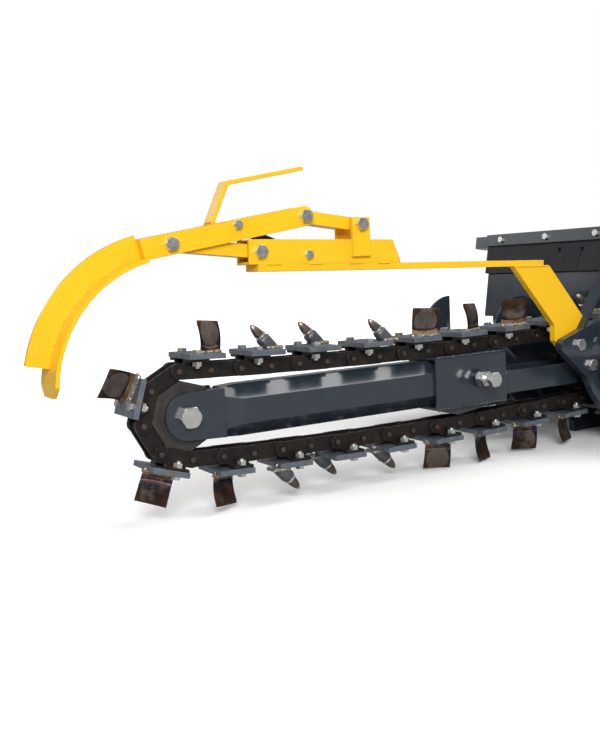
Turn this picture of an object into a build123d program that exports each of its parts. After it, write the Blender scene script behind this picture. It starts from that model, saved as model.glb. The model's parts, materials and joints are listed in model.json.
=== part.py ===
from build123d import *
import math
import os

# Chain trencher attachment: cutter chain on a boom, crumber linkage over it, spoil auger
# beside it and a frame with a hitch plate. Millimetres, +X from the nose to the machine,
# +Y to the auger side, +Z up. The model is laid out from the head shaft's axis in the
# middle of the chain and is moved to the hitch plate's face when it is written.

# ---------- driving dimensions ----------
# head shaft axis, seen from the centre of the hitch plate's mating face
HEAD_X = -262.0
HEAD_Y = -130.0
HEAD_Z = -45.0

# chain
PITCH = 50.8
WHEEL_LINKS = 8              # links that would go once round the nose or head wheel
RUN_LINKS = 17               # links in each straight run
PHASE = 5.5                  # first pin past the top of each wheel, degrees
RUN_SLOPE = 2.785            # slope of a sagging run at its ends, degrees
PIN_R = 4.0
PIN_HALF = 21.5
PIN_FIT = 0.1
ROLLER_R = 7.94
ROLLER_HALF = 9.5
LINK_HEIGHT = 24.0
LINK_T = 4.0
LINK_GAP = 0.3
FLANGE_Z = 18.0              # outer face of a flange over the pin line
FLANGE_OUT = 34.0
FLANGE_LEN = 34.0

# cutters, along the link from the middle of its two pins
CUT_BASE_LEAD = 17.0
CUT_BASE_TRAIL = 41.0
CUT_BASE_HALF = 39.0
CUT_BASE_T = 8.0
KNIFE_ROOT = 44.0
KNIFE_YAW = 38.0
KNIFE_T = 7.0
KNIFE_HEIGHT = 49.0
KNIFE_FLARE = 10.0
KNIFE_BACK = 21.0            # middle of the knife behind the bolts
TOOTH_OFFSET = 26.0
TOOTH_BACK = 40.0
TOOTH_TILT = 30.0
HOLDER_R = 10.0
HOLDER_LEN = 27.0
TIP_R = 7.0
TIP_LEN = 24.0
CUT_BOLT_Y = 27.0
M8_R = 4.0
M8_AF = 13.0
M8_HEAD = 5.3
M8_NUT = 6.8

# boom
BEAM_HALF_W = 32.0
BEAM_HALF_H = 40.0
BEAM_MID_Z = -2.0
BEAM_CHAMFER = 21.0
BEAM_WALL = 6.0
BEAM_TIP_X = 60.0            # from the nose axis
BEAM_NOSE_LEN = 28.0
BEAM_TIP_INSET = 8.0
BEAM_END_X = 572.0
SLEEVE_X0 = 452.0
SLEEVE_X1 = 610.0
SLEEVE_WALL = 4.5
SLEEVE_FIT = 0.4
EAR_R = 35.0
EAR_T = 8.0
EAR_Y = 21.0
EAR_BRIDGE = 6.0
IDLER_HUB_R = 39.0
IDLER_GAP = 0.3
AXLE_R = 10.0
M20_AF = 30.0
M20_HEAD = 12.5
TAKE_UP_SCREW_R = 8.0
LOCK_BOLT_X = 547.0
M16_R = 8.0
M16_AF = 24.0
M16_HEAD = 10.0
CHEEK_Y = 25.0
CHEEK_T = 10.0
CHEEK_HALF_H = 20.0

# head shaft, sprocket, bearings, motor
SHAFT_R = 17.5
SHAFT_FIT = 0.08
SHAFT_CLEAR = 3.0
SEAT_FIT = 0.26
TOOTH_TIP_R = 73.0
SPROCKET_HALF = 8.5
SPROCKET_HUB_R = 34.0
BEARING_R = 36.0
BEARING_T = 16.0
HOUSING_R = 55.0
MOTOR_R = 46.0
MOTOR_LEN = 128.0
MOTOR_FLANGE = 22.0
MOTOR_FLANGE_T = 16.0
MOTOR_BOLTS = 4
MOTOR_BOLT_R = 57.0
M10_AF = 17.0
M10_HEAD = 6.4
PORT_BLOCK = 60.0
PORT_R = 13.0
PORT_BORE_R = 9.0
PORT_LEN = 22.0
PORT_DEEP = 14.0

# auger
AUGER_R = 123.0
AUGER_TUBE_R = 30.0
AUGER_TUBE_WALL = 5.0
AUGER_PITCH = 225.0
AUGER_Y0 = 88.0
AUGER_Y1 = 420.0
FLIGHT_T = 6.0
AUGER_SOCKET = 90.0
AUGER_BOLT_Y = 24.0
AUGER_CAP_T = 8.0
SHAFT_STUB = 8.0

# frame
SIDE_Y = 62.0                # inner face of each side plate
SIDE_T = 15.0
SIDE_FRONT_X = -157.0
SIDE_FRONT_Z = 36.0
SIDE_FRONT_H = 15.8
SIDE_TOP_X = -52.0
SIDE_TOP_Z = 86.0
SIDE_REAR_X = 60.0
SIDE_REAR_Z = 130.0
SIDE_BELLY = [(-40.0, -96.0), (-78.0, -50.0), (-92.0, -22.0)]
CORNER_R = 13.0
SIDE_LOW_GAP = 8.0
FRAME_FAR_Y = 420.0
SKID_T = 12.0
SKID_X0 = 20.0
SKID_FAR_W = 40.0
LEG_BOLTS = [(-112.0, 42.0), (-82.0, 2.0)]
TUBE = 80.0
TUBE_WALL = 5.0
TUBE_X = 176.0
HITCH_T = 10.0
HITCH_W = 560.0
HITCH_H = 290.0
HITCH_LIP = 26.0
HITCH_LIP_T = 14.0
HITCH_RELIEF = 1.5           # the face is set back under the lip
HITCH_WEB_DY = 340.0
HITCH_WEB_T = 12.0
HITCH_HOLE_DY = 420.0
HITCH_HOLE_DZ = 200.0
HITCH_HOLE_R = 9.0
HOOD_X = 140.0
HOOD_TOP_Z = 256.0
HOOD_LEAN = 9.0
BEAM_BAR_H = 28.0
BEAM_BAR_D = 30.0
BEAM_BAR_OVER = 58.0
BEAM_BAR_WALL = 3.0
HOOD_T = 4.0
CLAMP_H = 26.0
CLAMP_T = 6.0
FLAP_T = 8.0
FLAP_H = 90.0
FLAP_DROP = 2.0
HOOD_H = 190.0
HOOD_FIT = 0.5
FLAP_BOLT_STEP = 140.0
FLAP_BOLT_FIRST = 370.0
FLAP_BOLTS = 3
FLAP_BOLT_END = 22.0         # last bolt, from the near end of the hood
BRACE_W = 30.0
BRACE_T = 8.0
STAY_W = 25.0
STAY_T = 6.0
STAY_LIFT = 12.5             # over the top corner of the crumber leg
STAY_PATH = [(-100.6, 68.0), (7.3, 215.0), (157.0, 239.0)]

# crumber, in the plane of the trench, from the nose axis
SHOE_X = -5.0
SHOE_Z = 48.0
SHOE_R = 182.0
SHOE_T = 6.0
SHOE_HALF = 35.0
SHOE_CORNER = 16.0
SHOE_FROM = 103.0
SHOE_TO = 180.0
RIB_H = 34.0
RIB_T = 8.0
RIB_SHORT = 12.0
PIVOT_A = (-6.0, 250.0)
PIVOT_B = (138.0, 234.0)
PIVOT_C = (220.0, 285.5)
PIVOT_D = (320.0, 271.0)
SPRING_A = (102.0, 275.0)
SPRING_E = (223.0, 226.0)
BAR_HALF_H = 15.5
BAR_HALF_W = 20.0
BAR_WALL = 4.5
BAR_TAIL = 58.0
BAR_WEB_END = 92.0
BAR_END_T = 6.0
LINK_HALF_H = 10.0
LINK_HALF_W = 13.5
M12_R = 6.0
M12_AF = 19.0
M12_HEAD = 7.5
OPEN_PIVOT_R = 7.2
PIVOT_FIT = 0.08
CHANNEL_X0 = 118.0
CHANNEL_X1 = 384.0
CHANNEL_H = 38.0
CHANNEL_SLOPE = 1.8
CHANNEL_HALF_W = 20.0
CHANNEL_WALL = 4.0
CHANNEL_BASE_Z = 215.2
POST_W = 34.0
POST_T = 6.0
ARM_T = 10.5
ARM_W = 40.0
ARM_X0 = 133.0
ARM_CRANK_X0 = 420.0
ARM_CRANK_X1 = 585.0
ARM_X1 = 683.0
LEG_T = 12.0
LEG_TOP_Z = 82.0
HANDLE_T = 6.0
HANDLE_W = 25.0
HANDLE_PATH = [(66.0, 280.4), (93.0, 337.0), (222.0, 359.0)]
SPRING_R = 7.5
SPRING_WIRE = 2.2
HOOK_R = 7.5
HOOK_SHIFT = 0.33            # the hook's eye hangs on the far side of its bolt

# ---------- values that follow ----------
WHEEL_R = PITCH / (2 * math.sin(math.pi / WHEEL_LINKS))
WHEEL_APOTHEM = PITCH / (2 * math.tan(math.pi / WHEEL_LINKS))
RUN_STEPS = [-RUN_SLOPE + 2 * RUN_SLOPE * k / (RUN_LINKS - 1) for k in range(RUN_LINKS)]
CENTRES = PITCH * sum(math.cos(math.radians(a)) for a in RUN_STEPS)
WRAP_LINKS = WHEEL_LINKS // 2
INNER_Y = ROLLER_HALF + LINK_GAP
OUTER_Y = INNER_Y + LINK_T + LINK_GAP
CUT_Z = FLANGE_Z + CUT_BASE_T
RUN_SAG = PITCH * sum(math.sin(math.radians(-a)) for a in RUN_STEPS[:RUN_LINKS // 2])
PIN_TOP_Z = WHEEL_R * math.cos(math.radians(PHASE))
FLOOR_Z = -(PIN_TOP_Z + RUN_SAG + CUT_Z + KNIFE_HEIGHT)
NOSE = -CENTRES
SLEEVE_HALF_W = BEAM_HALF_W + SLEEVE_FIT + SLEEVE_WALL
SLEEVE_HALF_H = BEAM_HALF_H + SLEEVE_FIT + SLEEVE_WALL
BAR_IN = BAR_HALF_W - BAR_WALL
BAR_FRONT = BAR_TAIL - 16 - BAR_END_T
LEG_Y = -SIDE_Y
HOOD_Y0 = -SIDE_Y - SIDE_T + STAY_W
HITCH_FACE_X = -HEAD_X
TUBE_FRONT = TUBE_X - TUBE / 2
TUBE_BACK = TUBE_X + TUBE / 2
SKID_TOP_Z = FLOOR_Z + SKID_T + SIDE_LOW_GAP
LOWER_TUBE_Z = SKID_TOP_Z + TUBE / 2
UPPER_TUBE_Z = SIDE_REAR_Z - TUBE / 2
ALONG_Y = Rot(-90, 0, 0)
BASE = (Align.CENTER, Align.CENTER, Align.MIN)


# ---------- helpers ----------
def written(name, *pieces):
    """Move the pieces of one node to the hitch plate's frame and write them."""
    solids = []
    for piece in pieces:
        solids.extend(piece.solids())
    group = solids[0] if len(solids) == 1 else Compound(children=solids)
    export_step(Pos(HEAD_X, HEAD_Y, HEAD_Z) * group, os.path.join("parts", name + ".step"))


def upright(points, y0, y1):
    """Plate between y0 and y1 with the given outline in X and Z."""
    outline = Polyline(*[(x, y0, z) for x, z in points], close=True)
    return extrude(make_face(outline), amount=y1 - y0, dir=(0, 1, 0))


def flat(points, z0, z1):
    """Plate between z0 and z1 with the given outline in X and Y."""
    outline = Polyline(*[(x, y, z0) for x, y in points], close=True)
    return extrude(make_face(outline), amount=z1 - z0, dir=(0, 0, 1))


def block(x0, x1, y0, y1, z0, z1):
    """Box between two corners."""
    size = Box(x1 - x0, y1 - y0, z1 - z0)
    return Pos((x0 + x1) / 2, (y0 + y1) / 2, (z0 + z1) / 2) * size


def rod(x, z, radius, y0, y1):
    """Round bar along Y."""
    return Pos(x, (y0 + y1) / 2, z) * ALONG_Y * Cylinder(radius, y1 - y0)


def ring(x, z, outer, inner, y0, y1):
    """Ring along Y."""
    return rod(x, z, outer, y0, y1) - rod(x, z, inner, y0 - 1, y1 + 1)


def hexagon(flats, height):
    """Hexagonal prism standing on the origin along +Z, with its corners eased."""
    prism = extrude(RegularPolygon(flats / 2, 6, major_radius=False), amount=height)
    return prism & Cone(flats * 0.5 + height, flats * 0.5 + 0.4, height, align=BASE)


def slab(p, q, half_h, y0, y1):
    """Round-ended bar in X and Z from p to q, between y0 and y1."""
    length = math.dist(p, q)
    turn = math.degrees(math.atan2(q[1] - p[1], q[0] - p[0]))
    body = block(0, length, y0, y1, -half_h, half_h)
    body += rod(0, 0, half_h, y0, y1) + rod(length, 0, half_h, y0, y1)
    return Pos(p[0], 0, p[1]) * Rot(0, -turn, 0) * body


def cross_bolt(x, z, radius, flats, head, y_near, y_far):
    """Bolt along Y whose head stands on y_near and whose nut stands on y_far."""
    shank = rod(x, z, radius, y_near, y_far)
    cap = Pos(x, y_near, z) * Rot(90, 0, 0) * hexagon(flats, head)
    tail = Pos(x, y_far, z) * Rot(-90, 0, 0) * hexagon(flats, head)
    stub = rod(x, z, radius, y_far, y_far + head + radius * 0.5)
    return shank + cap + tail + stub


# ---------- chain ----------
def pin_places():
    """Pins from the top of the nose wheel, along the top run and back underneath."""
    first = math.radians(90 + PHASE)
    places = [(NOSE + WHEEL_R * math.cos(first), WHEEL_R * math.sin(first))]
    for slope in RUN_STEPS:
        a = math.radians(slope)
        x, z = places[-1]
        places.append((x + PITCH * math.cos(a), z + PITCH * math.sin(a)))
    for k in range(1, WRAP_LINKS + 1):
        a = math.radians(90 + PHASE - k * 360 / WHEEL_LINKS)
        places.append((WHEEL_R * math.cos(a), WHEEL_R * math.sin(a)))
    for slope in RUN_STEPS:
        a = math.radians(slope)
        x, z = places[-1]
        places.append((x - PITCH * math.cos(a), z + PITCH * math.sin(a)))
    for k in range(1, WRAP_LINKS):
        a = math.radians(-90 + PHASE - k * 360 / WHEEL_LINKS)
        places.append((NOSE + WHEEL_R * math.cos(a), WHEEL_R * math.sin(a)))
    return places


PINS = pin_places()
LINKS = len(PINS)
TOP_LINKS = range(1, RUN_LINKS + 1)
HEAD_LINKS = range(RUN_LINKS + 1, RUN_LINKS + WRAP_LINKS + 1)
BOTTOM_LINKS = range(RUN_LINKS + WRAP_LINKS + 1, 2 * RUN_LINKS + WRAP_LINKS + 1)
NOSE_LINKS = range(2 * RUN_LINKS + WRAP_LINKS + 1, LINKS + 1)
REGIONS = {"top": TOP_LINKS, "head": HEAD_LINKS, "bottom": BOTTOM_LINKS, "nose": NOSE_LINKS}
TOOTH_LINKS = [3, 5, 7, 17, 19, 21, 31, 33, 35]


def on_link(k, piece):
    """Place a piece that was modelled with its first pin at the origin on link k."""
    a = PINS[k - 1]
    b = PINS[k % LINKS]
    turn = math.degrees(math.atan2(b[1] - a[1], b[0] - a[0]))
    return Pos(a[0], 0, a[1]) * Rot(0, -turn, 0) * piece


def side_plate(y):
    """One chain side plate with its two pin holes."""
    plate = slab((0, 0), (PITCH, 0), LINK_HEIGHT / 2, y, y + LINK_T)
    for x in (0, PITCH):
        plate -= rod(x, 0, PIN_R + PIN_FIT, y - 1, y + LINK_T + 1)
    return plate


def flanged_plate():
    """Outer side plate whose upper edge is bent outwards to carry a cutter."""
    mid = PITCH / 2
    half = FLANGE_LEN / 2
    plate = side_plate(OUTER_Y)
    plate += block(mid - half, mid + half, OUTER_Y, OUTER_Y + LINK_T, 0, FLANGE_Z)
    plate += block(mid - half, mid + half, OUTER_Y, FLANGE_OUT, FLANGE_Z - LINK_T, FLANGE_Z)
    return plate - Pos(mid, CUT_BOLT_Y, FLANGE_Z) * Cylinder(M8_R + PIN_FIT, 4 * LINK_T)


def both_sides(piece):
    """A piece and its mirror image across the middle of the chain."""
    return [piece, mirror(piece, about=Plane.XZ)]


def chain_links():
    inner = both_sides(side_plate(INNER_Y))
    outer = both_sides(flanged_plate())
    for name, links in REGIONS.items():
        pieces = []
        for k in links:
            for plate in (outer if k % 2 else inner):
                pieces.append(on_link(k, plate))
        written("chain_links_" + name, *pieces)


def chain_pins_and_rollers():
    pin = rod(0, 0, PIN_R, -PIN_HALF, PIN_HALF)
    roller = ring(0, 0, ROLLER_R, PIN_R + PIN_FIT, -ROLLER_HALF, ROLLER_HALF)
    written("chain_pins", *[Pos(x, 0, z) * pin for x, z in PINS])
    written("chain_rollers", *[Pos(x, 0, z) * roller for x, z in PINS])


# ---------- cutters ----------
def cutter_base():
    mid = PITCH / 2
    base = block(mid - CUT_BASE_LEAD, mid + CUT_BASE_TRAIL, -CUT_BASE_HALF, CUT_BASE_HALF,
                 FLANGE_Z, CUT_Z)
    for y in (-CUT_BOLT_Y, CUT_BOLT_Y):
        base -= Pos(mid, y, CUT_Z) * Cylinder(M8_R + PIN_FIT, 4 * CUT_BASE_T)
    return base


def knife(hand):
    """Curved knife that stands on the trailing half of a base, flared to one side."""
    low = Vector(0, 0, 0)
    middle = Vector(0, KNIFE_FLARE * 0.3, KNIFE_HEIGHT * 0.55)
    top = Vector(0, KNIFE_FLARE, KNIFE_HEIGHT)
    thick = Vector(0, KNIFE_T, 0)
    edges = [ThreePointArc(low, middle, top), Line(top, top + thick),
             ThreePointArc(top + thick, middle + thick, low + thick), Line(low + thick, low)]
    blade = extrude(make_face(edges), amount=KNIFE_ROOT / 2, dir=(1, 0, 0), both=True)
    blade = Pos(0, -KNIFE_T / 2, 0) * blade
    if hand < 0:
        blade = mirror(blade, about=Plane.XZ)
    middle_x = PITCH / 2 + KNIFE_BACK
    return Pos(middle_x, 0, CUT_Z) * Rot(0, 0, hand * KNIFE_YAW) * blade


def bullet_tooth(offset):
    """Round holder and pointed tooth that lean forwards over the base."""
    holder = Cylinder(HOLDER_R, HOLDER_LEN, align=BASE)
    tip = Pos(0, 0, HOLDER_LEN) * Cone(TIP_R, 1.5, TIP_LEN, align=BASE)
    collar = Pos(0, 0, HOLDER_LEN) * Cylinder(HOLDER_R - 1, 4, align=BASE)
    tooth = Rot(0, -TOOTH_TILT, 0) * Pos(0, 0, -HOLDER_R * 0.5) * (holder + collar + tip)
    tooth = Pos(PITCH / 2 + TOOTH_BACK, offset, CUT_Z) * tooth
    return tooth & block(-PITCH, 3 * PITCH, -PITCH, PITCH, CUT_Z, CUT_Z + 2 * PITCH)


def cutter_bolt(y):
    mid = PITCH / 2
    shank = Pos(mid, y, FLANGE_Z - LINK_T - M8_NUT - 3) * Cylinder(
        M8_R, CUT_Z - FLANGE_Z + LINK_T + M8_NUT + 3, align=BASE)
    head = Pos(mid, y, CUT_Z) * hexagon(M8_AF, M8_HEAD)
    nut = Pos(mid, y, FLANGE_Z - LINK_T - M8_NUT) * hexagon(M8_AF, M8_NUT)
    return shank + head + nut


def cutters():
    base = cutter_base()
    knives = {1: knife(1), -1: knife(-1)}
    bolts = [cutter_bolt(-CUT_BOLT_Y), cutter_bolt(CUT_BOLT_Y)]
    every_bolt = []
    teeth = []
    hand = 1
    side = 0
    groups = {"top": [*TOP_LINKS, *HEAD_LINKS], "bottom": BOTTOM_LINKS, "nose": NOSE_LINKS}
    for name, links in groups.items():
        bases = []
        blades = []
        for k in links:
            if k % 2 == 0:
                continue
            bases.append(on_link(k, base))
            every_bolt += [on_link(k, bolt) for bolt in bolts]
            if k in TOOTH_LINKS:
                teeth.append(on_link(k, bullet_tooth(TOOTH_OFFSET * side)))
                side = {0: 1, 1: -1, -1: 0}[side]
            else:
                blades.append(on_link(k, knives[hand]))
                hand = -hand
        written("cutter_bases_" + name, *bases)
        written("cutter_knives_" + name, *blades)
    written("cutter_teeth", *teeth)
    written("cutter_bolts", *every_bolt)


# ---------- boom and nose ----------
def octagon(x, half_w, half_h, chamfer):
    """Chamfered rectangle across the boom at x."""
    w = half_w - chamfer
    h = half_h - chamfer
    corners = [(half_w, h), (w, half_h), (-w, half_h), (-half_w, h),
               (-half_w, -h), (-w, -half_h), (w, -half_h), (half_w, -h)]
    return make_face(Polyline(*[(x, y, BEAM_MID_Z + z) for y, z in corners], close=True))


def boom():
    x0 = NOSE + BEAM_TIP_X
    x1 = x0 + BEAM_NOSE_LEN
    x2 = NOSE + BEAM_END_X
    full = octagon(x1, BEAM_HALF_W, BEAM_HALF_H, BEAM_CHAMFER)
    tip = octagon(x0, BEAM_HALF_W - BEAM_TIP_INSET, BEAM_HALF_H - 2, BEAM_CHAMFER - BEAM_TIP_INSET)
    beam = extrude(full, amount=x2 - x1, dir=(1, 0, 0)) + loft([tip, full])
    hollow = octagon(x1 + BEAM_WALL, BEAM_HALF_W - BEAM_WALL, BEAM_HALF_H - BEAM_WALL,
                     BEAM_CHAMFER - BEAM_WALL / 2)
    beam -= extrude(hollow, amount=x2 - x1 - 3 * BEAM_WALL, dir=(1, 0, 0))
    screw_hole = Pos(x2, 0, BEAM_MID_Z) * Rot(0, 90, 0) * Cylinder(TAKE_UP_SCREW_R, 6 * BEAM_WALL)
    written("boom_beam", beam - screw_hole)

    ear = upright([(NOSE, -EAR_R), (x0, BEAM_MID_Z - EAR_R - 1), (x0, BEAM_MID_Z + EAR_R + 3),
                   (NOSE, EAR_R)], EAR_Y, EAR_Y + EAR_T)
    ear += rod(NOSE, 0, EAR_R, EAR_Y, EAR_Y + EAR_T)
    ear += block(x0 - EAR_BRIDGE, x0, 0, EAR_Y, BEAM_MID_Z - EAR_R + 3, BEAM_MID_Z + EAR_R)
    ear -= rod(NOSE, 0, AXLE_R + PIVOT_FIT, EAR_Y - 1, EAR_Y + EAR_T + 1)
    written("nose_ears", *both_sides(ear))

    flats = WHEEL_APOTHEM - LINK_HEIGHT / 2 - IDLER_GAP
    rim_y = OUTER_Y + LINK_T
    idler = extrude(RegularPolygon(flats, WHEEL_LINKS, major_radius=False), rim_y, both=True)
    idler = Rot(0, -PHASE, 0) * ALONG_Y * idler
    idler += rod(0, 0, IDLER_HUB_R, -EAR_Y + IDLER_GAP, EAR_Y - IDLER_GAP)
    idler = Pos(NOSE, 0, 0) * idler
    bush_r = AXLE_R + 5
    idler -= rod(NOSE, 0, bush_r + PIVOT_FIT, -EAR_Y - 1, EAR_Y + 1)
    written("nose_idler", idler)
    written("idler_bush", ring(NOSE, 0, bush_r, AXLE_R + PIVOT_FIT, -EAR_Y + 0.1, EAR_Y - 0.1))
    face = EAR_Y + EAR_T
    written("idler_bolt", cross_bolt(NOSE, 0, AXLE_R, M20_AF, M20_HEAD, -face, face))

    screw = Pos(x2 - 2 * BEAM_WALL, 0, BEAM_MID_Z) * Rot(0, 90, 0) * Cylinder(
        TAKE_UP_SCREW_R, SLEEVE_X1 - BEAM_END_X + 4 * BEAM_WALL, align=BASE)
    written("take_up_screw", screw)


def boom_sleeve():
    x0 = NOSE + SLEEVE_X0
    x1 = NOSE + SLEEVE_X1
    w = SLEEVE_HALF_W
    h = SLEEVE_HALF_H
    z = BEAM_MID_Z
    tube = block(x0, x1, -w, w, z - h, z + h)
    inner_w = w - SLEEVE_WALL
    inner_h = h - SLEEVE_WALL
    tube -= block(x0 - 1, x1 - SLEEVE_WALL, -inner_w, inner_w, z - inner_h, z + inner_h)
    hole = TAKE_UP_SCREW_R + 1
    tube -= Pos(x1, 0, z) * Rot(0, 90, 0) * Cylinder(hole, 4 * SLEEVE_WALL)
    lock_x = NOSE + LOCK_BOLT_X
    boss_y = w + 9
    tube += rod(lock_x, 0, M16_R + 8, -boss_y, -w + 1)
    tube -= rod(lock_x, 0, M16_R + PIN_FIT, -boss_y - 1, 0)
    keel = upright([(x0 + 2, z - h), (x0 + 50, z - h - 13), (x1 - 18, z - h - 2),
                    (x1 - 18, z - h)], -w + 6, w - 6)
    written("boom_sleeve", tube + keel)

    nut_y = boss_y + 13
    tip_y = BEAM_HALF_W + SLEEVE_FIT
    bolt = rod(lock_x, 0, M16_R, -nut_y - 12, -tip_y)
    bolt += Pos(lock_x, -nut_y - 12, 0) * Rot(90, 0, 0) * hexagon(M16_AF, M16_HEAD)
    bolt += Pos(lock_x, -boss_y, 0) * Rot(90, 0, 0) * hexagon(M16_AF, 13)
    written("lock_bolt", bolt)


def boom_cheeks():
    """Two flat bars that carry the sleeve from the head housings."""
    z = BEAM_MID_Z - 13
    x0 = NOSE + SLEEVE_X1
    cheek = block(x0, 0, CHEEK_Y, CHEEK_Y + CHEEK_T, z - CHEEK_HALF_H, z + CHEEK_HALF_H)
    cheek += rod(0, 0, HOUSING_R - 10, CHEEK_Y, CHEEK_Y + CHEEK_T)
    cheek -= rod(0, 0, SHAFT_R + SHAFT_CLEAR, CHEEK_Y - 1, CHEEK_Y + CHEEK_T + 1)
    written("boom_cheeks", *both_sides(cheek))


# ---------- head shaft, sprocket, bearings, motor ----------
def sprocket():
    """Eight teeth in step with the pins that lie round the head wheel."""
    wheel = rod(0, 0, TOOTH_TIP_R, -SPROCKET_HALF, SPROCKET_HALF)
    seat = ROLLER_R + SEAT_FIT
    step = 360 / WHEEL_LINKS
    for k in range(WHEEL_LINKS):
        a = math.radians(90 + PHASE + k * step)
        x = WHEEL_R * math.cos(a)
        z = WHEEL_R * math.sin(a)
        wheel -= rod(x, z, seat, -ROLLER_R * 2, ROLLER_R * 2)
        mouth = block(-seat - 2, seat + 2, -ROLLER_R * 2, ROLLER_R * 2, 0, 2 * seat)
        mouth = Rot(0, 90 - math.degrees(a), 0) * mouth
        wheel -= Pos(x, 0, z) * mouth
    hub_y = CHEEK_Y - 1
    wheel += rod(0, 0, SPROCKET_HUB_R, -hub_y, hub_y)
    wheel -= rod(0, 0, SHAFT_R + SHAFT_FIT, -hub_y - 1, hub_y + 1)
    written("head_sprocket", wheel)


def head_shaft():
    """Driven shaft through the side plates, with the auger on its far end."""
    far = AUGER_Y0 + AUGER_SOCKET
    cross = Pos(0, AUGER_Y0 + AUGER_BOLT_Y, 0) * Rot(0, 0, -90)
    hole = cross * rod(0, 0, M12_R + PIN_FIT, -2 * AUGER_TUBE_R, 2 * AUGER_TUBE_R)
    written("head_shaft", rod(0, 0, SHAFT_R, -SIDE_Y - SIDE_T - SHAFT_STUB, far) - hole)

    tube = ring(0, 0, AUGER_TUBE_R, AUGER_TUBE_R - AUGER_TUBE_WALL, AUGER_Y0, AUGER_Y1)
    tube += ring(0, 0, AUGER_TUBE_R - AUGER_TUBE_WALL, SHAFT_R, AUGER_Y0, far)
    tube += rod(0, 0, AUGER_TUBE_R, AUGER_Y1 - AUGER_CAP_T, AUGER_Y1)
    written("auger_tube", tube - hole)
    bolt = cross_bolt(0, 0, M12_R, M12_AF, M12_HEAD, -AUGER_TUBE_R, AUGER_TUBE_R)
    written("auger_bolt", cross * bolt)


def auger_flight():
    """Screw flight that ends in a straight radial edge at the top of its outer end."""
    height = AUGER_Y1 - AUGER_Y0 - FLIGHT_T
    path = Helix(AUGER_PITCH, height, AUGER_TUBE_R)
    middle = (AUGER_TUBE_R + AUGER_R) / 2
    depth = AUGER_R - AUGER_TUBE_R
    section = Plane.XZ * Pos(middle, 0) * Rectangle(depth, FLIGHT_T)
    flight = sweep(section, path=path, is_frenet=True)
    flight = Rot(90, 0, 0) * flight
    flight = Pos(0, AUGER_Y1 - FLIGHT_T / 2, 0) * Rot(0, -90, 0) * flight
    flight -= rod(0, 0, AUGER_TUBE_R + 0.05, 0, AUGER_Y1 + 20)
    written("auger_flight", flight)


def head_housings():
    """Bearing housings between each side plate and its cheek, with their bearings."""
    gap = CHEEK_Y + CHEEK_T
    housings = []
    bearings = []
    for side in (-1, 1):
        y0, y1 = sorted((side * gap, side * SIDE_Y))
        body = rod(0, 0, HOUSING_R, y0, y1)
        seat0, seat1 = sorted((side * (SIDE_Y - BEARING_T), side * SIDE_Y))
        body -= rod(0, 0, BEARING_R, seat0, seat1)
        body -= rod(0, 0, SHAFT_R + SHAFT_CLEAR, y0 - 1, y1 + 1)
        housings.append(body)
        bearings.append(ring(0, 0, BEARING_R, SHAFT_R + SHAFT_FIT, seat0, seat1))
    written("head_housings", *housings)
    written("head_bearings", *bearings)


def motor():
    """Hydraulic motor on the near side plate, with two ports and four flange bolts."""
    face = -SIDE_Y - SIDE_T
    flange_r = MOTOR_R + MOTOR_FLANGE
    body = rod(0, 0, flange_r, face - MOTOR_FLANGE_T, face)
    body += rod(0, 0, MOTOR_R, face - MOTOR_LEN, face)
    port_ys = [face - MOTOR_LEN + 24, face - MOTOR_LEN + 52]
    body += block(-PORT_BLOCK / 2, PORT_BLOCK / 2, port_ys[0] - PORT_R, port_ys[1] + PORT_R,
                  0, flange_r)
    body -= rod(0, 0, SHAFT_R + SHAFT_CLEAR, face - MOTOR_FLANGE_T, face + 1)
    written("drive_motor", body)
    ports = []
    for y in port_ys:
        place = Pos(0, y, flange_r)
        port = place * Cylinder(PORT_R, PORT_LEN, align=BASE)
        ports.append(port - place * Pos(0, 0, PORT_LEN - PORT_DEEP) * Cylinder(
            PORT_BORE_R, PORT_LEN, align=BASE))
    written("motor_ports", *ports)
    bolts = []
    for k in range(MOTOR_BOLTS):
        a = math.radians(45 + 360 / MOTOR_BOLTS * k)
        x = MOTOR_BOLT_R * math.cos(a)
        z = MOTOR_BOLT_R * math.sin(a)
        bolts.append(Pos(x, face - MOTOR_FLANGE_T, z) * Rot(90, 0, 0) * hexagon(M10_AF, M10_HEAD))
    for x, z in LEG_BOLTS:
        bolts.append(cross_bolt(x, z, M12_R, M12_AF, M12_HEAD, face, LEG_Y + LEG_T))
    written("frame_bolts", *bolts)


# ---------- frame ----------
def side_outline():
    """Outline of a side plate from its front corner to the cross tubes."""
    return [(SIDE_FRONT_X, SIDE_FRONT_Z), (SIDE_FRONT_X, SIDE_FRONT_Z + SIDE_FRONT_H),
            (SIDE_TOP_X, SIDE_TOP_Z), (SIDE_REAR_X, SIDE_REAR_Z), (TUBE_FRONT, SIDE_REAR_Z),
            (TUBE_FRONT, SKID_TOP_Z), (SKID_X0, SKID_TOP_Z), *SIDE_BELLY]


def frame_plates():
    plate = upright(side_outline(), SIDE_Y, SIDE_Y + SIDE_T)
    plate = fillet(plate.edges().filter_by(Axis.Y).sort_by(Axis.X)[:2], CORNER_R)
    plate -= rod(0, 0, SHAFT_R + SHAFT_CLEAR, SIDE_Y - 1, SIDE_Y + SIDE_T + 1)
    near = mirror(plate, about=Plane.XZ)
    for x, z in LEG_BOLTS:
        near -= rod(x, z, M12_R + PIN_FIT, -SIDE_Y - SIDE_T - 1, -SIDE_Y + 1)
    written("near_side_plate", near)
    written("far_side_plate", plate)


def cross_tube(z):
    """Square tube along Y, open at its ends, centred at height z."""
    y0 = -SIDE_Y - SIDE_T
    outer = block(TUBE_FRONT, TUBE_BACK, y0, FRAME_FAR_Y, z - TUBE / 2, z + TUBE / 2)
    t = TUBE_WALL
    return outer - block(TUBE_FRONT + t, TUBE_BACK - t, y0 - 1, FRAME_FAR_Y + 1,
                         z - TUBE / 2 + t, z + TUBE / 2 - t)


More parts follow.
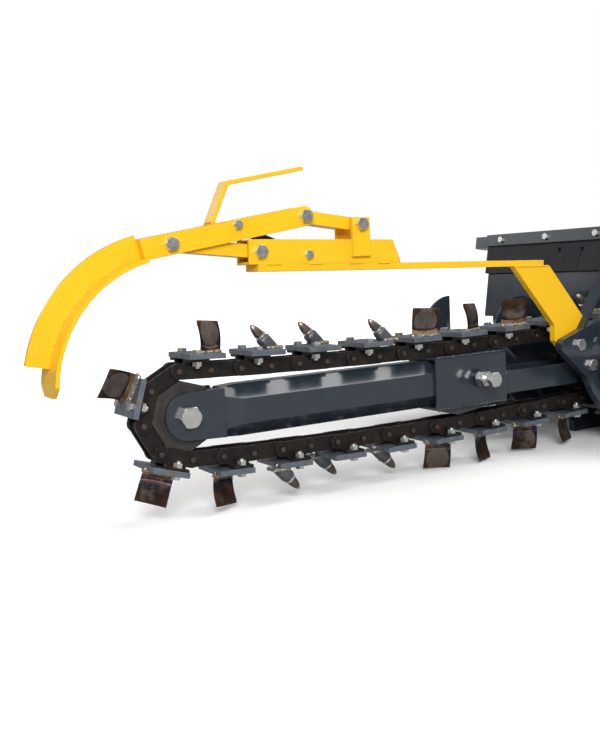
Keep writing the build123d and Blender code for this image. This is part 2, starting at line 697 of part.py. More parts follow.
def rear_frame():
    written("lower_cross_tube", cross_tube(LOWER_TUBE_Z))
    written("upper_cross_tube", cross_tube(UPPER_TUBE_Z))
    back = HITCH_FACE_X - HITCH_T
    webs = []
    for y in (-HITCH_WEB_DY / 2, HITCH_WEB_DY / 2):
        webs.append(block(TUBE_BACK, back, -HEAD_Y + y - HITCH_WEB_T / 2, -HEAD_Y + y + HITCH_WEB_T / 2,
                          -HEAD_Z - HITCH_H / 2, UPPER_TUBE_Z + TUBE / 2))
    written("hitch_webs", *webs)
    skids = []
    for x0, y0, y1 in ((SKID_X0, -SIDE_Y - SIDE_T, -SIDE_Y), (SKID_X0, SIDE_Y, SIDE_Y + SIDE_T),
                       (TUBE_FRONT, FRAME_FAR_Y - SKID_FAR_W, FRAME_FAR_Y)):
        skids.append(block(x0, back, y0, y1, FLOOR_Z, SKID_TOP_Z))
    written("skid_runners", *skids)


def hitch_plate():
    """Plate that the machine's quick hitch takes hold of, hooked along its top edge."""
    x1 = HITCH_FACE_X
    x0 = x1 - HITCH_T
    y0 = -HEAD_Y - HITCH_W / 2
    y1 = -HEAD_Y + HITCH_W / 2
    top = -HEAD_Z + HITCH_H / 2
    plate = block(x0, x1, y0, y1, -HEAD_Z - HITCH_H / 2, top)
    plate -= block(x1 - HITCH_RELIEF, x1 + 1, y0 - 1, y1 + 1, top - HITCH_LIP - HITCH_RELIEF, top)
    hook = [(x0, top), (x1, top), (x1 + HITCH_LIP, top - HITCH_LIP),
            (x1 + HITCH_LIP, top - HITCH_LIP + HITCH_LIP_T), (x1, top + HITCH_LIP_T),
            (x0, top + HITCH_LIP_T)]
    plate += upright(hook, y0, y1)
    for y in (-HITCH_HOLE_DY / 2, HITCH_HOLE_DY / 2):
        for z in (-HITCH_HOLE_DZ / 2, HITCH_HOLE_DZ / 2):
            plate -= Pos(x0, -HEAD_Y + y, -HEAD_Z + z) * Rot(0, 90, 0) * Cylinder(
                HITCH_HOLE_R, 4 * HITCH_T)
    written("hitch_plate", plate)


# ---------- hood and flap ----------
def leaning(piece):
    """Tilt a hood piece forwards about the front top edge of its panel."""
    return Pos(HOOD_X, 0, HOOD_TOP_Z) * Rot(0, HOOD_LEAN, 0) * piece


def flap_bolt_place(y):
    """Face of the hood panel where a flap bolt goes through, looking forwards."""
    return Pos(0, y, -CLAMP_H / 2) * Rot(0, -90, 0)


def flap_bolt(y):
    """Bolt through the strip, the flap, the panel and the beam, with its nut."""
    head_x = FLAP_T + CLAMP_T
    nut_x = -HOOD_T - BEAM_BAR_D
    place = flap_bolt_place(y)
    bolt = place * Pos(0, 0, head_x) * hexagon(M8_AF, M8_HEAD)
    bolt += place * Pos(0, 0, nut_x - M8_NUT) * Cylinder(M8_R, head_x - nut_x + M8_NUT, align=BASE)
    return bolt + place * Pos(0, 0, nut_x - M8_NUT) * hexagon(M8_AF, M8_NUT)


def hood():
    y0 = HOOD_Y0
    y1 = FRAME_FAR_Y
    y2 = y1 + BEAM_BAR_OVER
    beam = block(HOOD_T, HOOD_T + BEAM_BAR_D, y0, y2, -BEAM_BAR_H, 0)
    wall = BEAM_BAR_WALL
    beam -= block(HOOD_T + wall, HOOD_T + BEAM_BAR_D - wall, y0 - 1, y2 + 1,
                  -BEAM_BAR_H + wall, -wall)
    panel = block(0, HOOD_T, y0, y1, -HOOD_H, 0)
    flap = block(-FLAP_T, 0, y0, y1, -FLAP_H, -FLAP_DROP)
    strip = block(-FLAP_T - CLAMP_T, -FLAP_T, y0, y1, -CLAMP_H, 0)
    bolts = []
    places = [FLAP_BOLT_FIRST - k * FLAP_BOLT_STEP for k in range(FLAP_BOLTS)]
    for y in places + [y0 + FLAP_BOLT_END]:
        hole = flap_bolt_place(y) * Cylinder(M8_R + PIN_FIT, 3 * BEAM_BAR_D)
        beam -= hole
        panel -= hole
        flap -= hole
        strip -= hole
        bolts.append(flap_bolt(y))
    panel = leaning(panel)
    panel -= block(0, TUBE_X, SIDE_Y - HOOD_FIT, SIDE_Y + SIDE_T + HOOD_FIT, 0, SIDE_REAR_Z + HOOD_FIT)
    written("hood_beam", leaning(beam))
    written("hood_panel", panel)
    written("rubber_flap", leaning(flap))
    written("flap_clamp_strip", leaning(strip))
    written("flap_bolts", *[leaning(b) for b in bolts])


def hood_braces():
    """Two flat bars that hold the hood beam up from the upper cross tube, and a front stay."""
    a = math.radians(HOOD_LEAN)
    depth = HOOD_T + BEAM_BAR_D
    back = (HOOD_X + depth * math.cos(a) - BEAM_BAR_H * math.sin(a),
            HOOD_TOP_Z - depth * math.sin(a) - BEAM_BAR_H * math.cos(a))
    front = (back[0] - BRACE_W * math.cos(a), back[1] + BRACE_W * math.sin(a))
    low = UPPER_TUBE_Z + TUBE / 2
    outline = [front, back, (TUBE_X + BRACE_W / 2, low), (TUBE_X - BRACE_W / 2, low)]
    braces = [upright(outline, HOOD_Y0, HOOD_Y0 + BRACE_T),
              upright(outline, FRAME_FAR_Y - BRACE_T, FRAME_FAR_Y)]
    foot, bend, tip = STAY_PATH
    near = -SIDE_Y - SIDE_T
    stay = slab(foot, bend, STAY_T / 2, near, HOOD_Y0) + slab(bend, tip, STAY_T / 2, near, HOOD_Y0)
    stay -= upright(side_outline(), near - 1, HOOD_Y0 + 1)
    stay -= block(2 * SIDE_FRONT_X, 0, LEG_Y - HOOD_FIT, 0, 0, LEG_TOP_Z + STAY_LIFT)
    written("hood_braces", *braces, stay)


# ---------- crumber ----------
def at_nose(p):
    """Crumber point given from the nose axis, in the layout frame."""
    return (NOSE + p[0], p[1])


def u_section(length, half_w, height, wall):
    """Channel along +X, open upwards, standing on z 0."""
    outer = block(0, length, -half_w, half_w, 0, height)
    return outer - block(-1, length + 1, -half_w + wall, half_w - wall, wall, height + 1)


def channel_frame(piece):
    """Place a piece modelled along the channel from its front lower edge."""
    x, z = at_nose((CHANNEL_X0, CHANNEL_BASE_Z))
    return Pos(x, 0, z) * Rot(0, CHANNEL_SLOPE, 0) * piece


def crumber_supports():
    a = at_nose(PIVOT_B)
    d = at_nose(PIVOT_D)
    e = at_nose(SPRING_E)
    length = CHANNEL_X1 - CHANNEL_X0
    channel = u_section(length + 16, CHANNEL_HALF_W, CHANNEL_H, CHANNEL_WALL)
    channel -= upright([(length, CHANNEL_H + 1), (length + 18, -1), (length + 30, -1),
                        (length + 30, CHANNEL_H + 1)], -CHANNEL_HALF_W - 1, CHANNEL_HALF_W + 1)
    channel = channel_frame(channel)
    span = CHANNEL_HALF_W + 1
    channel -= rod(a[0], a[1], M12_R, -span, span)
    channel -= rod(e[0], e[1], M8_R, -span, span)
    written("crumber_channel", channel)

    post_top = d[1] + 11
    post_low = channel_low(d[0]) + 11
    post = block(d[0] - POST_W / 2, d[0] + POST_W / 2, CHANNEL_HALF_W, CHANNEL_HALF_W + POST_T,
                 post_low, post_top)
    post -= rod(d[0], d[1], M12_R, CHANNEL_HALF_W - 1, CHANNEL_HALF_W + POST_T + 1)
    written("link_posts", *both_sides(post))

    face = CHANNEL_HALF_W
    post_face = face + POST_T
    fixed = [cross_bolt(a[0], a[1], M12_R, M12_AF, M12_HEAD, -face, face),
             cross_bolt(d[0], d[1], M12_R, M12_AF, M12_HEAD, -post_face, post_face),
             cross_bolt(e[0], e[1], M8_R, M8_AF, M8_HEAD, -face, face)]
    written("frame_pivot_bolts", *fixed)


def channel_low(x):
    """Height of the channel's underside at x."""
    x0, z0 = at_nose((CHANNEL_X0, CHANNEL_BASE_Z))
    return z0 - (x - x0) * math.tan(math.radians(CHANNEL_SLOPE))


def crumber_arm():
    half = ARM_W / 2
    y_end = LEG_Y + half
    near = [(ARM_X0, -half), (ARM_CRANK_X0, -half), (ARM_CRANK_X1, y_end - half),
            (ARM_X1, y_end - half)]
    far = [(ARM_X1, y_end + half), (ARM_CRANK_X1, y_end + half), (ARM_CRANK_X0, half),
           (ARM_X0, half)]
    x0 = NOSE + CHANNEL_X0
    arm = flat([(x - CHANNEL_X0, y) for x, y in near + far], -ARM_T, 0)
    written("crumber_arm", channel_frame(arm))

    top = channel_low(NOSE + 650) - ARM_T
    leg_points = [(612, top + 1.2), (697, top - 1.4), (786, LEG_TOP_Z), (786, -8), (766, -8), (706, 52),
                  (706, 80)]
    leg = upright([at_nose(p) for p in leg_points], LEG_Y, LEG_Y + LEG_T)
    cutter = channel_frame(block(0, 2 * CENTRES, -3 * SIDE_Y, SIDE_Y, -ARM_T, CHANNEL_H))
    leg -= cutter
    for x, z in LEG_BOLTS:
        leg -= rod(x, z, M12_R + PIN_FIT, LEG_Y - 1, LEG_Y + LEG_T + 1)
    written("crumber_leg", leg)


def along_bar(piece):
    """Place a piece modelled along the crumber bar, with pivot A at its origin."""
    a = at_nose(PIVOT_A)
    c = at_nose(PIVOT_C)
    turn = math.degrees(math.atan2(c[1] - a[1], c[0] - a[0]))
    return Pos(a[0], 0, a[1]) * Rot(0, -turn, 0) * piece


def crumber_bar():
    length = math.dist(PIVOT_A, PIVOT_C)
    bar = block(-BAR_TAIL, length, -BAR_HALF_W, BAR_HALF_W, -BAR_HALF_H, BAR_HALF_H)
    bar += rod(length, 0, BAR_HALF_H, -BAR_HALF_W, BAR_HALF_W)
    bar -= block(-BAR_FRONT, length + BAR_HALF_H + 1, -BAR_IN, BAR_IN,
                 -BAR_HALF_H - 1, BAR_HALF_H - BAR_WALL)
    bar -= block(BAR_WEB_END, length + BAR_HALF_H + 1, -BAR_IN, BAR_IN,
                 -BAR_HALF_H - 1, BAR_HALF_H + 1)
    span = BAR_HALF_W + 1
    bar -= rod(0, 0, M12_R, -span, span) + rod(length, 0, M12_R, -span, span)
    bar = along_bar(bar)
    s = at_nose(SPRING_A)
    bar -= rod(s[0], s[1], M8_R, -span, span)
    beyond = 3 * BAR_HALF_W
    bar -= arc_band(SHOE_R / 2, SHOE_R * 2, SHOE_FROM, SHOE_TO, -beyond, beyond)
    written("crumber_bar", bar)

    face = BAR_HALF_W
    a = at_nose(PIVOT_A)
    c = at_nose(PIVOT_C)
    bolts = [cross_bolt(a[0], a[1], M12_R, M12_AF, M12_HEAD, -face, face),
             cross_bolt(c[0], c[1], M12_R, M12_AF, M12_HEAD, -face, face),
             cross_bolt(s[0], s[1], M8_R, M8_AF, M8_HEAD, -face, face)]
    written("bar_pivot_bolts", *bolts)


def arc_band(r0, r1, a0, a1, y0, y1):
    """Part of a ring about the shoe's centre between two angles."""
    cx = NOSE + SHOE_X
    cz = SHOE_Z

    def at(r, a):
        t = math.radians(a)
        return (cx + r * math.cos(t), y0, cz + r * math.sin(t))

    mid = (a0 + a1) / 2
    edges = [ThreePointArc(at(r1, a0), at(r1, mid), at(r1, a1)), Line(at(r1, a1), at(r0, a1)),
             ThreePointArc(at(r0, a1), at(r0, mid), at(r0, a0)), Line(at(r0, a0), at(r1, a0))]
    return extrude(make_face(edges), amount=y1 - y0, dir=(0, 1, 0))


def crumber_shoe():
    shoe = arc_band(SHOE_R, SHOE_R + SHOE_T, SHOE_FROM, SHOE_TO, -SHOE_HALF, SHOE_HALF)
    x = NOSE + SHOE_X - SHOE_R - 2 * SHOE_T
    for side in (-1, 1):
        y_in = side * (SHOE_HALF - SHOE_CORNER)
        y_out = side * (SHOE_HALF + 1)
        corner = make_face(Polyline((x, y_out, SHOE_Z - 1), (x, y_out, SHOE_Z + SHOE_CORNER),
                                    (x, y_in, SHOE_Z - 1), close=True))
        shoe -= extrude(corner, amount=4 * SHOE_T, dir=(1, 0, 0))
    written("crumber_shoe", shoe)
    inner = SHOE_R + SHOE_T
    rib = arc_band(inner, inner + RIB_H, SHOE_FROM, SHOE_TO - RIB_SHORT, -RIB_T / 2, RIB_T / 2)
    written("crumber_rib", rib)


def crumber_links():
    a = at_nose(PIVOT_A)
    b = at_nose(PIVOT_B)
    lower = slab(a, b, LINK_HALF_H, -LINK_HALF_W, LINK_HALF_W)
    span = LINK_HALF_W + 1
    for x, z in (a, b):
        lower -= rod(x, z, M12_R + PIVOT_FIT, -span, span)
    written("lower_link", lower)
    c = at_nose(PIVOT_C)
    d = at_nose(PIVOT_D)
    upper = slab(c, d, LINK_HALF_H, -LINK_HALF_W, LINK_HALF_W)
    upper -= rod(c[0], c[1], OPEN_PIVOT_R, -span, span)
    upper -= rod(d[0], d[1], M12_R + PIVOT_FIT, -span, span)
    written("upper_link", upper)


def handle():
    foot, bend, tip = [at_nose(p) for p in HANDLE_PATH]
    half_w = HANDLE_W / 2
    riser = slab(foot, bend, HANDLE_T / 2, -half_w, half_w)
    grip = slab(bend, tip, HANDLE_T / 2, -half_w, half_w)
    written("lift_handle", riser + grip)


def spring():
    s = at_nose(SPRING_A)
    e = at_nose(SPRING_E)
    length = math.dist(s, e)
    turn = math.degrees(math.atan2(s[1] - e[1], s[0] - e[0]))
    place = Pos(e[0], 0, e[1]) * Rot(0, -turn, 0)
    wire = SPRING_WIRE / 2
    coil_from = HOOK_R + 6
    coil_to = length - HOOK_R - 12
    coil = Pos(coil_from, 0, 0) * Rot(0, 90, 0) * Cylinder(SPRING_R, coil_to - coil_from, align=BASE)
    coil -= Pos(coil_from - 1, 0, 0) * Rot(0, 90, 0) * Cylinder(
        SPRING_R - SPRING_WIRE, coil_to - coil_from + 2, align=BASE)
    eye = M8_R + PIVOT_FIT
    end_eye = ring(0, 0, eye + SPRING_WIRE, eye, -wire, wire)
    neck = block(eye + wire, coil_from + 4, -wire, wire, -SPRING_R + SPRING_WIRE, SPRING_R - SPRING_WIRE)
    cap = Pos(coil_from, 0, 0) * Rot(0, 90, 0) * Cylinder(SPRING_R, SPRING_WIRE, align=BASE)
    written("spring_coil", place * (coil + cap + end_eye + neck))
    hook_eye = ring(length - HOOK_SHIFT, 0, HOOK_R, HOOK_R - SPRING_WIRE, -wire, wire)
    stem = Pos(coil_to - 46, 0, 0) * Rot(0, 90, 0) * Cylinder(
        wire * 2, length - HOOK_R + wire - coil_to + 46, align=BASE)
    written("spring_hook", place * (hook_eye + stem))


os.makedirs("parts", exist_ok=True)
chain_links()
chain_pins_and_rollers()
cutters()
boom()
boom_sleeve()
boom_cheeks()
sprocket()
head_shaft()
auger_flight()
head_housings()
motor()
frame_plates()
rear_frame()
hitch_plate()
hood()
hood_braces()
crumber_supports()
crumber_arm()
crumber_bar()
crumber_shoe()
crumber_links()
handle()
spring()
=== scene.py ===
import json
import math
import random

import bmesh
import bpy
from mathutils import Matrix, Vector


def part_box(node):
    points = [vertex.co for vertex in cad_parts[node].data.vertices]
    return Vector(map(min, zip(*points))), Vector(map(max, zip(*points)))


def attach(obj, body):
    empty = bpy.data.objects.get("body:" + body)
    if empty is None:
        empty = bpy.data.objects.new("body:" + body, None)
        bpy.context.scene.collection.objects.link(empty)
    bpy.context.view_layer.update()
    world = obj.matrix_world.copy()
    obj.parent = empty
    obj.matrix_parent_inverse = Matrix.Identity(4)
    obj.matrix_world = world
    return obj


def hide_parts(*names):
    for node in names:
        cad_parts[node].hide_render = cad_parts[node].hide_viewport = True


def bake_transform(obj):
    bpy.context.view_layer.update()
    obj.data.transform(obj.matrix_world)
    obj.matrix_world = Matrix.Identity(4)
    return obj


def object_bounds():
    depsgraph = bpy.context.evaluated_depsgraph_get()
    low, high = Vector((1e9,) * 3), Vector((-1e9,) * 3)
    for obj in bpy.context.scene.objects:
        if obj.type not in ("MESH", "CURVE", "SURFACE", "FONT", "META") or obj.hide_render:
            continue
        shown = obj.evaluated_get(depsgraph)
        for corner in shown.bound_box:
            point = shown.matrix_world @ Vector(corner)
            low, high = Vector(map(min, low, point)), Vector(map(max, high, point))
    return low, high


bl_info = {
    "name": "Chain trencher dressing",
    "version": (1, 0, 0),
    "blender": (4, 5, 0),
    "location": "3D View > Sidebar > Trencher",
    "description": "Paints a chain trencher attachment and adds its knives, teeth, welds, spring and flap",
    "category": "Object",
}

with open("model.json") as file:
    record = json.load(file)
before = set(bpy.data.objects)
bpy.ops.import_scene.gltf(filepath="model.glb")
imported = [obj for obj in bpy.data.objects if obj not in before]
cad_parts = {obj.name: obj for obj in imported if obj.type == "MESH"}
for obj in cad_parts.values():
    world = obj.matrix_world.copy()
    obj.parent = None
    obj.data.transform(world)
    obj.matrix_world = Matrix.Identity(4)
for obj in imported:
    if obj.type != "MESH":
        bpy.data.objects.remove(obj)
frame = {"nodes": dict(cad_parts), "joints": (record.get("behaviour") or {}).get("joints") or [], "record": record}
CAD_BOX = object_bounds()
NODES = frame["nodes"]
FINISHES = {}


# ---------- places taken from the frame ----------
def joint_point(name):
    """Where a hinge of the frame stands."""
    found = [joint for joint in frame["joints"] if joint["name"] == name]
    return Vector(found[0]["pos_m"])


def box_middle(node):
    """Centre of a node's box."""
    low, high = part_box(node)
    return (low + high) / 2


HEAD = joint_point("auger_spin")
NOSE = Vector((box_middle("nose_idler").x, HEAD.y, box_middle("idler_bolt").z))
SPRING_FOOT = joint_point("spring_swing")
FLOOR = CAD_BOX[0].z


def from_head(x, y, z):
    """A place seen from the middle of the head shaft."""
    return HEAD + Vector((x, y, z))


def from_nose(x, y, z):
    """A place seen from the middle of the nose idler."""
    return NOSE + Vector((x, y, z))


# ---------- settings ----------
class StageSettings(bpy.types.PropertyGroup):
    eye: bpy.props.FloatVectorProperty(
        name="Camera place", description="Where the camera stands", size=3,
        default=(-1.6672, -1.4010, 0.1650), subtype="XYZ", unit="LENGTH")
    yaw: bpy.props.FloatProperty(
        name="Yaw", description="Turn of the camera from +Y towards +X",
        default=math.radians(30.57), subtype="ANGLE")
    pitch: bpy.props.FloatProperty(
        name="Pitch", description="Tilt of the camera below the horizon",
        default=math.radians(6.05), subtype="ANGLE")
    roll: bpy.props.FloatProperty(
        name="Roll", description="Turn of the camera about its own axis",
        default=math.radians(-2.99), subtype="ANGLE")
    lens: bpy.props.FloatProperty(
        name="Lens", description="Focal length on a 36 mm wide sensor, in millimetres",
        default=56.22, min=10.0)
    sky: bpy.props.FloatProperty(
        name="Horizon strength", description="Light that the surroundings give at the horizon",
        default=0.30, min=0.0)
    zenith: bpy.props.FloatProperty(
        name="Zenith strength", description="Light that the surroundings give overhead",
        default=0.36, min=0.0)
    top: bpy.props.FloatProperty(
        name="Top power", description="Power of the soft box overhead",
        default=92.0, min=0.0, unit="POWER")
    key: bpy.props.FloatProperty(
        name="Key power", description="Power of the large light above the nose",
        default=118.0, min=0.0, unit="POWER")


class ChainSettings(bpy.types.PropertyGroup):
    pitch: bpy.props.FloatProperty(
        name="Chain pitch", description="Distance from pin to pin",
        default=0.0508, subtype="DISTANCE", unit="LENGTH")
    wheel_links: bpy.props.IntProperty(
        name="Wheel links", description="Links that would go once round a wheel", default=8)
    run_links: bpy.props.IntProperty(
        name="Run links", description="Links in each straight run", default=17)
    phase: bpy.props.FloatProperty(
        name="Phase", description="First pin past the top of each wheel",
        default=math.radians(5.5), subtype="ANGLE")
    slope: bpy.props.FloatProperty(
        name="Run slope", description="Slope of a sagging run at its ends",
        default=math.radians(2.785), subtype="ANGLE")
    plate_z: bpy.props.FloatProperty(
        name="Plate height", description="Top of a cutter plate over the pin line",
        default=0.026, subtype="DISTANCE", unit="LENGTH")
    lead: bpy.props.FloatProperty(
        name="Plate lead", description="Cutter plate ahead of its bolts",
        default=0.017, subtype="DISTANCE", unit="LENGTH")


class KnifeSettings(bpy.types.PropertyGroup):
    width: bpy.props.FloatProperty(
        name="Width", description="Width of a knife", default=0.045,
        subtype="DISTANCE", unit="LENGTH")
    height: bpy.props.FloatProperty(
        name="Height", description="Height of a knife over its plate", default=0.0485,
        subtype="DISTANCE", unit="LENGTH")
    thickness: bpy.props.FloatProperty(
        name="Thickness", description="Thickness of a knife", default=0.0052,
        subtype="DISTANCE", unit="LENGTH")
    flare: bpy.props.FloatProperty(
        name="Flare", description="How far the knife's edge bends outwards", default=0.0145,
        subtype="DISTANCE", unit="LENGTH")
    lean: bpy.props.FloatProperty(
        name="Lean", description="How far a knife leans back before its edge bends outwards",
        default=0.008, subtype="DISTANCE", unit="LENGTH")
    yaw: bpy.props.FloatProperty(
        name="Yaw", description="Turn of a knife across its plate", default=math.radians(24),
        subtype="ANGLE")
    back: bpy.props.FloatProperty(
        name="Set back", description="Middle of a knife behind the bolts", default=0.023,
        subtype="DISTANCE", unit="LENGTH")
    aside: bpy.props.FloatProperty(
        name="Set aside",
        description="Middle of a knife towards the far side of its plate; negative is near",
        default=-0.017, subtype="DISTANCE", unit="LENGTH")


class ToothSettings(bpy.types.PropertyGroup):
    side: bpy.props.FloatProperty(
        name="Side offset", description="Offset of the side teeth from the middle",
        default=0.026, subtype="DISTANCE", unit="LENGTH")
    back: bpy.props.FloatProperty(
        name="Set back", description="Foot of a tooth behind the bolts", default=0.037,
        subtype="DISTANCE", unit="LENGTH")
    tilt: bpy.props.FloatProperty(
        name="Tilt", description="Lean of a tooth towards the cut", default=math.radians(44),
        subtype="ANGLE")
    holder: bpy.props.FloatProperty(
        name="Holder width", description="Width of a tooth's holder", default=0.020,
        subtype="DISTANCE", unit="LENGTH")


class SpringSettings(bpy.types.PropertyGroup):
    reach: bpy.props.FloatVectorProperty(
        name="Reach", description="The hook's bolt, seen from the bolt in the channel", size=3,
        default=(-0.1210, 0.0, 0.0490), subtype="XYZ", unit="LENGTH")
    wire: bpy.props.FloatProperty(
        name="Wire radius", description="Radius of the spring's wire", default=0.0011,
        subtype="DISTANCE", unit="LENGTH", precision=5)
    coil: bpy.props.FloatProperty(
        name="Coil radius", description="Radius of the coil to the middle of its wire",
        default=0.0064, subtype="DISTANCE", unit="LENGTH", precision=5)
    eye: bpy.props.FloatProperty(
        name="Eye radius", description="Radius of the end eye to the middle of its wire",
        default=0.0052, subtype="DISTANCE", unit="LENGTH", precision=5)
    first: bpy.props.FloatProperty(
        name="First turn", description="Start of the coil, from the bolt in the channel",
        default=0.0135, subtype="DISTANCE", unit="LENGTH")
    last: bpy.props.FloatProperty(
        name="Last turn", description="End of the coil, from the bolt in the channel",
        default=0.1110, subtype="DISTANCE", unit="LENGTH")
    turns: bpy.props.IntProperty(name="Turns", description="Turns in the coil", default=42)


class FlapSettings(bpy.types.PropertyGroup):
    lean: bpy.props.FloatProperty(
        name="Lean", description="Lean of the hood from upright", default=math.radians(9),
        subtype="ANGLE")
    height: bpy.props.FloatProperty(
        name="Height", description="Height of the rubber sheet from the top of the hood",
        default=0.090, subtype="DISTANCE", unit="LENGTH")
    thickness: bpy.props.FloatProperty(
        name="Thickness", description="Thickness of the rubber sheet", default=0.008,
        subtype="DISTANCE", unit="LENGTH")
    wave: bpy.props.FloatProperty(
        name="Wave", description="How far the free edge stands off the hood panel",
        default=0.0035, subtype="DISTANCE", unit="LENGTH")
    hole: bpy.props.FloatProperty(
        name="Hole radius", description="Radius of the two open holes", default=0.0048,
        subtype="DISTANCE", unit="LENGTH")


class FinishSettings(bpy.types.PropertyGroup):
    yellow: bpy.props.FloatVectorProperty(
        name="Yellow", description="Colour of the crumber's enamel", size=4,
        default=(0.890, 0.490, 0.006, 1.0), subtype="COLOR", min=0.0, max=1.0)
    dark: bpy.props.FloatVectorProperty(
        name="Dark", description="Colour of the frame's enamel", size=4,
        default=(0.016, 0.024, 0.033, 1.0), subtype="COLOR", min=0.0, max=1.0)
    zinc: bpy.props.FloatVectorProperty(
        name="Zinc", description="Colour of plated fasteners", size=4,
        default=(0.62, 0.62, 0.60, 1.0), subtype="COLOR", min=0.0, max=1.0)


class TrencherSettings(bpy.types.PropertyGroup):
    stage: bpy.props.PointerProperty(
        type=StageSettings, name="Stage", description="Camera, floor and light")
    chain: bpy.props.PointerProperty(
        type=ChainSettings, name="Chain", description="Layout of the cutter chain")
    knife: bpy.props.PointerProperty(
        type=KnifeSettings, name="Knife", description="Sizes of a curved knife")
    tooth: bpy.props.PointerProperty(
        type=ToothSettings, name="Tooth", description="Sizes of a bullet tooth")
    spring: bpy.props.PointerProperty(
        type=SpringSettings, name="Spring", description="Sizes of the crumber's spring")
    flap: bpy.props.PointerProperty(
        type=FlapSettings, name="Flap", description="Sizes of the rubber flap")
    finish: bpy.props.PointerProperty(
        type=FinishSettings, name="Finish", description="Colours of the finishes")


# ---------- node tree helpers ----------
def fill_inputs(tree, node, inputs):
    """Link each input that is a socket, and set each one that is a plain value."""
    for label, value in inputs.items():
        if isinstance(value, bpy.types.NodeSocket):
            tree.links.new(value, node.inputs[label])
        else:
            node.inputs[label].default_value = value


def add_node(tree, kind, inputs=None, **settings):
    """A node with its settings and its inputs."""
    made = tree.nodes.new(kind)
    for name, value in settings.items():
        setattr(made, name, value)
    fill_inputs(tree, made, inputs or {})
    return made


def colour_mix(tree, factor, first, second):
    """Mix of two colours, each a socket or a plain colour."""
    # on a colour mix, inputs 0, 6 and 7 are the factor and the two colours
    made = add_node(tree, "ShaderNodeMix", data_type="RGBA")
    fill_inputs(tree, made, {0: factor, 6: first, 7: second})
    return made.outputs[2]


def maths(tree, operation, first, second, clamp=False):
    """One sum on two values."""
    made = add_node(tree, "ShaderNodeMath", {0: first, 1: second},
                    operation=operation, use_clamp=clamp)
    return made.outputs[0]


def remap(tree, value, low, high, to_low=0.0, to_high=1.0):
    """Clamped straight-line remap of a value."""
    made = add_node(tree, "ShaderNodeMapRange", {
        "Value": value, "From Min": low, "From Max": high, "To Min": to_low, "To Max": to_high})
    return made.outputs["Result"]


def grain(tree, coords, scale, detail=4.0, roughness=0.55):
    """Noise value over the given coordinates, in waves to the metre."""
    made = add_node(tree, "ShaderNodeTexNoise", {
        "Vector": coords, "Scale": scale, "Detail": detail, "Roughness": roughness})
    return made.outputs[0]


def new_group(name, inputs, outputs):
    """An empty node group, and the sockets inside it that lead in and out."""
    group = bpy.data.node_groups.new(name, "ShaderNodeTree")
    for label, kind, value in inputs:
        socket = group.interface.new_socket(name=label, in_out="INPUT", socket_type=kind)
        socket.default_value = value
    for label, kind in outputs:
        group.interface.new_socket(name=label, in_out="OUTPUT", socket_type=kind)
    entry = group.nodes.new("NodeGroupInput")
    leave = group.nodes.new("NodeGroupOutput")
    return group, entry.outputs, leave.inputs


def use_group(tree, name, inputs):
    """A placed node group with its own values."""
    made = add_node(tree, "ShaderNodeGroup", node_tree=bpy.data.node_groups[name])
    fill_inputs(tree, made, inputs)
    return made.outputs


def blotches(tree, scale, cover, softness):
    """The mask of a placed group of blotches."""
    return use_group(tree, "Blotches", {
        "Scale": scale, "Cover": cover, "Softness": softness})["Mask"]


def build_edge_group():
    """Eased edges, and a broken mask of wear along them."""
    group, entry, leave = new_group(
        "Eased edges",
        [("Radius", "NodeSocketFloat", 0.0015), ("Amount", "NodeSocketFloat", 0.5)],
        [("Mask", "NodeSocketFloat"), ("Normal", "NodeSocketVector")])
    eased = add_node(group, "ShaderNodeBevel", {"Radius": entry["Radius"]}, samples=4)
    flat = add_node(group, "ShaderNodeNewGeometry")
    dot = add_node(group, "ShaderNodeVectorMath", operation="DOT_PRODUCT")
    group.links.new(eased.outputs[0], dot.inputs[0])
    group.links.new(flat.outputs["Normal"], dot.inputs[1])
    edge = remap(group, dot.outputs["Value"], 0.995, 0.90)
    coords = add_node(group, "ShaderNodeTexCoord").outputs["Object"]
    broken = remap(group, grain(group, coords, 140.0, 5.0, 0.7), 0.47, 0.62)
    worn = maths(group, "MULTIPLY", maths(group, "MULTIPLY", edge, broken), entry["Amount"], True)
    group.links.new(worn, leave["Mask"])
    group.links.new(eased.outputs[0], leave["Normal"])


def build_blotch_group():
    """Soft blotches between 0 and 1, for rust, scale and handling marks."""
    group, entry, leave = new_group(
        "Blotches",
        [("Scale", "NodeSocketFloat", 30.0), ("Cover", "NodeSocketFloat", 0.5),
         ("Softness", "NodeSocketFloat", 0.1)],
        [("Mask", "NodeSocketFloat")])
    coords = add_node(group, "ShaderNodeTexCoord").outputs["Object"]
    noise = grain(group, coords, entry["Scale"], 6.0, 0.62)
    middle = maths(group, "SUBTRACT", 0.75, maths(group, "MULTIPLY", entry["Cover"], 0.5))
    low = maths(group, "SUBTRACT", middle, entry["Softness"])
    high = maths(group, "ADD", middle, entry["Softness"])
    group.links.new(remap(group, noise, low, high), leave["Mask"])


def build_skin_group():
    """Fine bumps of a cast, rolled or sprayed surface over a given normal."""
    group, entry, leave = new_group(
        "Fine skin",
        [("Scale", "NodeSocketFloat", 600.0), ("Depth", "NodeSocketFloat", 0.0001),
         ("Normal", "NodeSocketVector", (0.0, 0.0, 0.0))],
        [("Normal", "NodeSocketVector")])
    coords = add_node(group, "ShaderNodeTexCoord").outputs["Object"]
    bump = add_node(group, "ShaderNodeBump", {
        "Strength": 1.0, "Distance": entry["Depth"], "Normal": entry["Normal"],
        "Height": grain(group, coords, entry["Scale"], 3.0, 0.6)})
    group.links.new(bump.outputs[0], leave["Normal"])


def new_finish(name, **shader_values):
    """A new material's tree and its Principled shader, which has the given values."""
    material = bpy.data.materials.new(name)
    FINISHES[name] = material
    material.use_nodes = True
    tree = material.node_tree
    shader = tree.nodes["Principled BSDF"]
    for label, value in shader_values.items():
        shader.inputs[label.replace("_", " ")].default_value = value
    return tree, shader


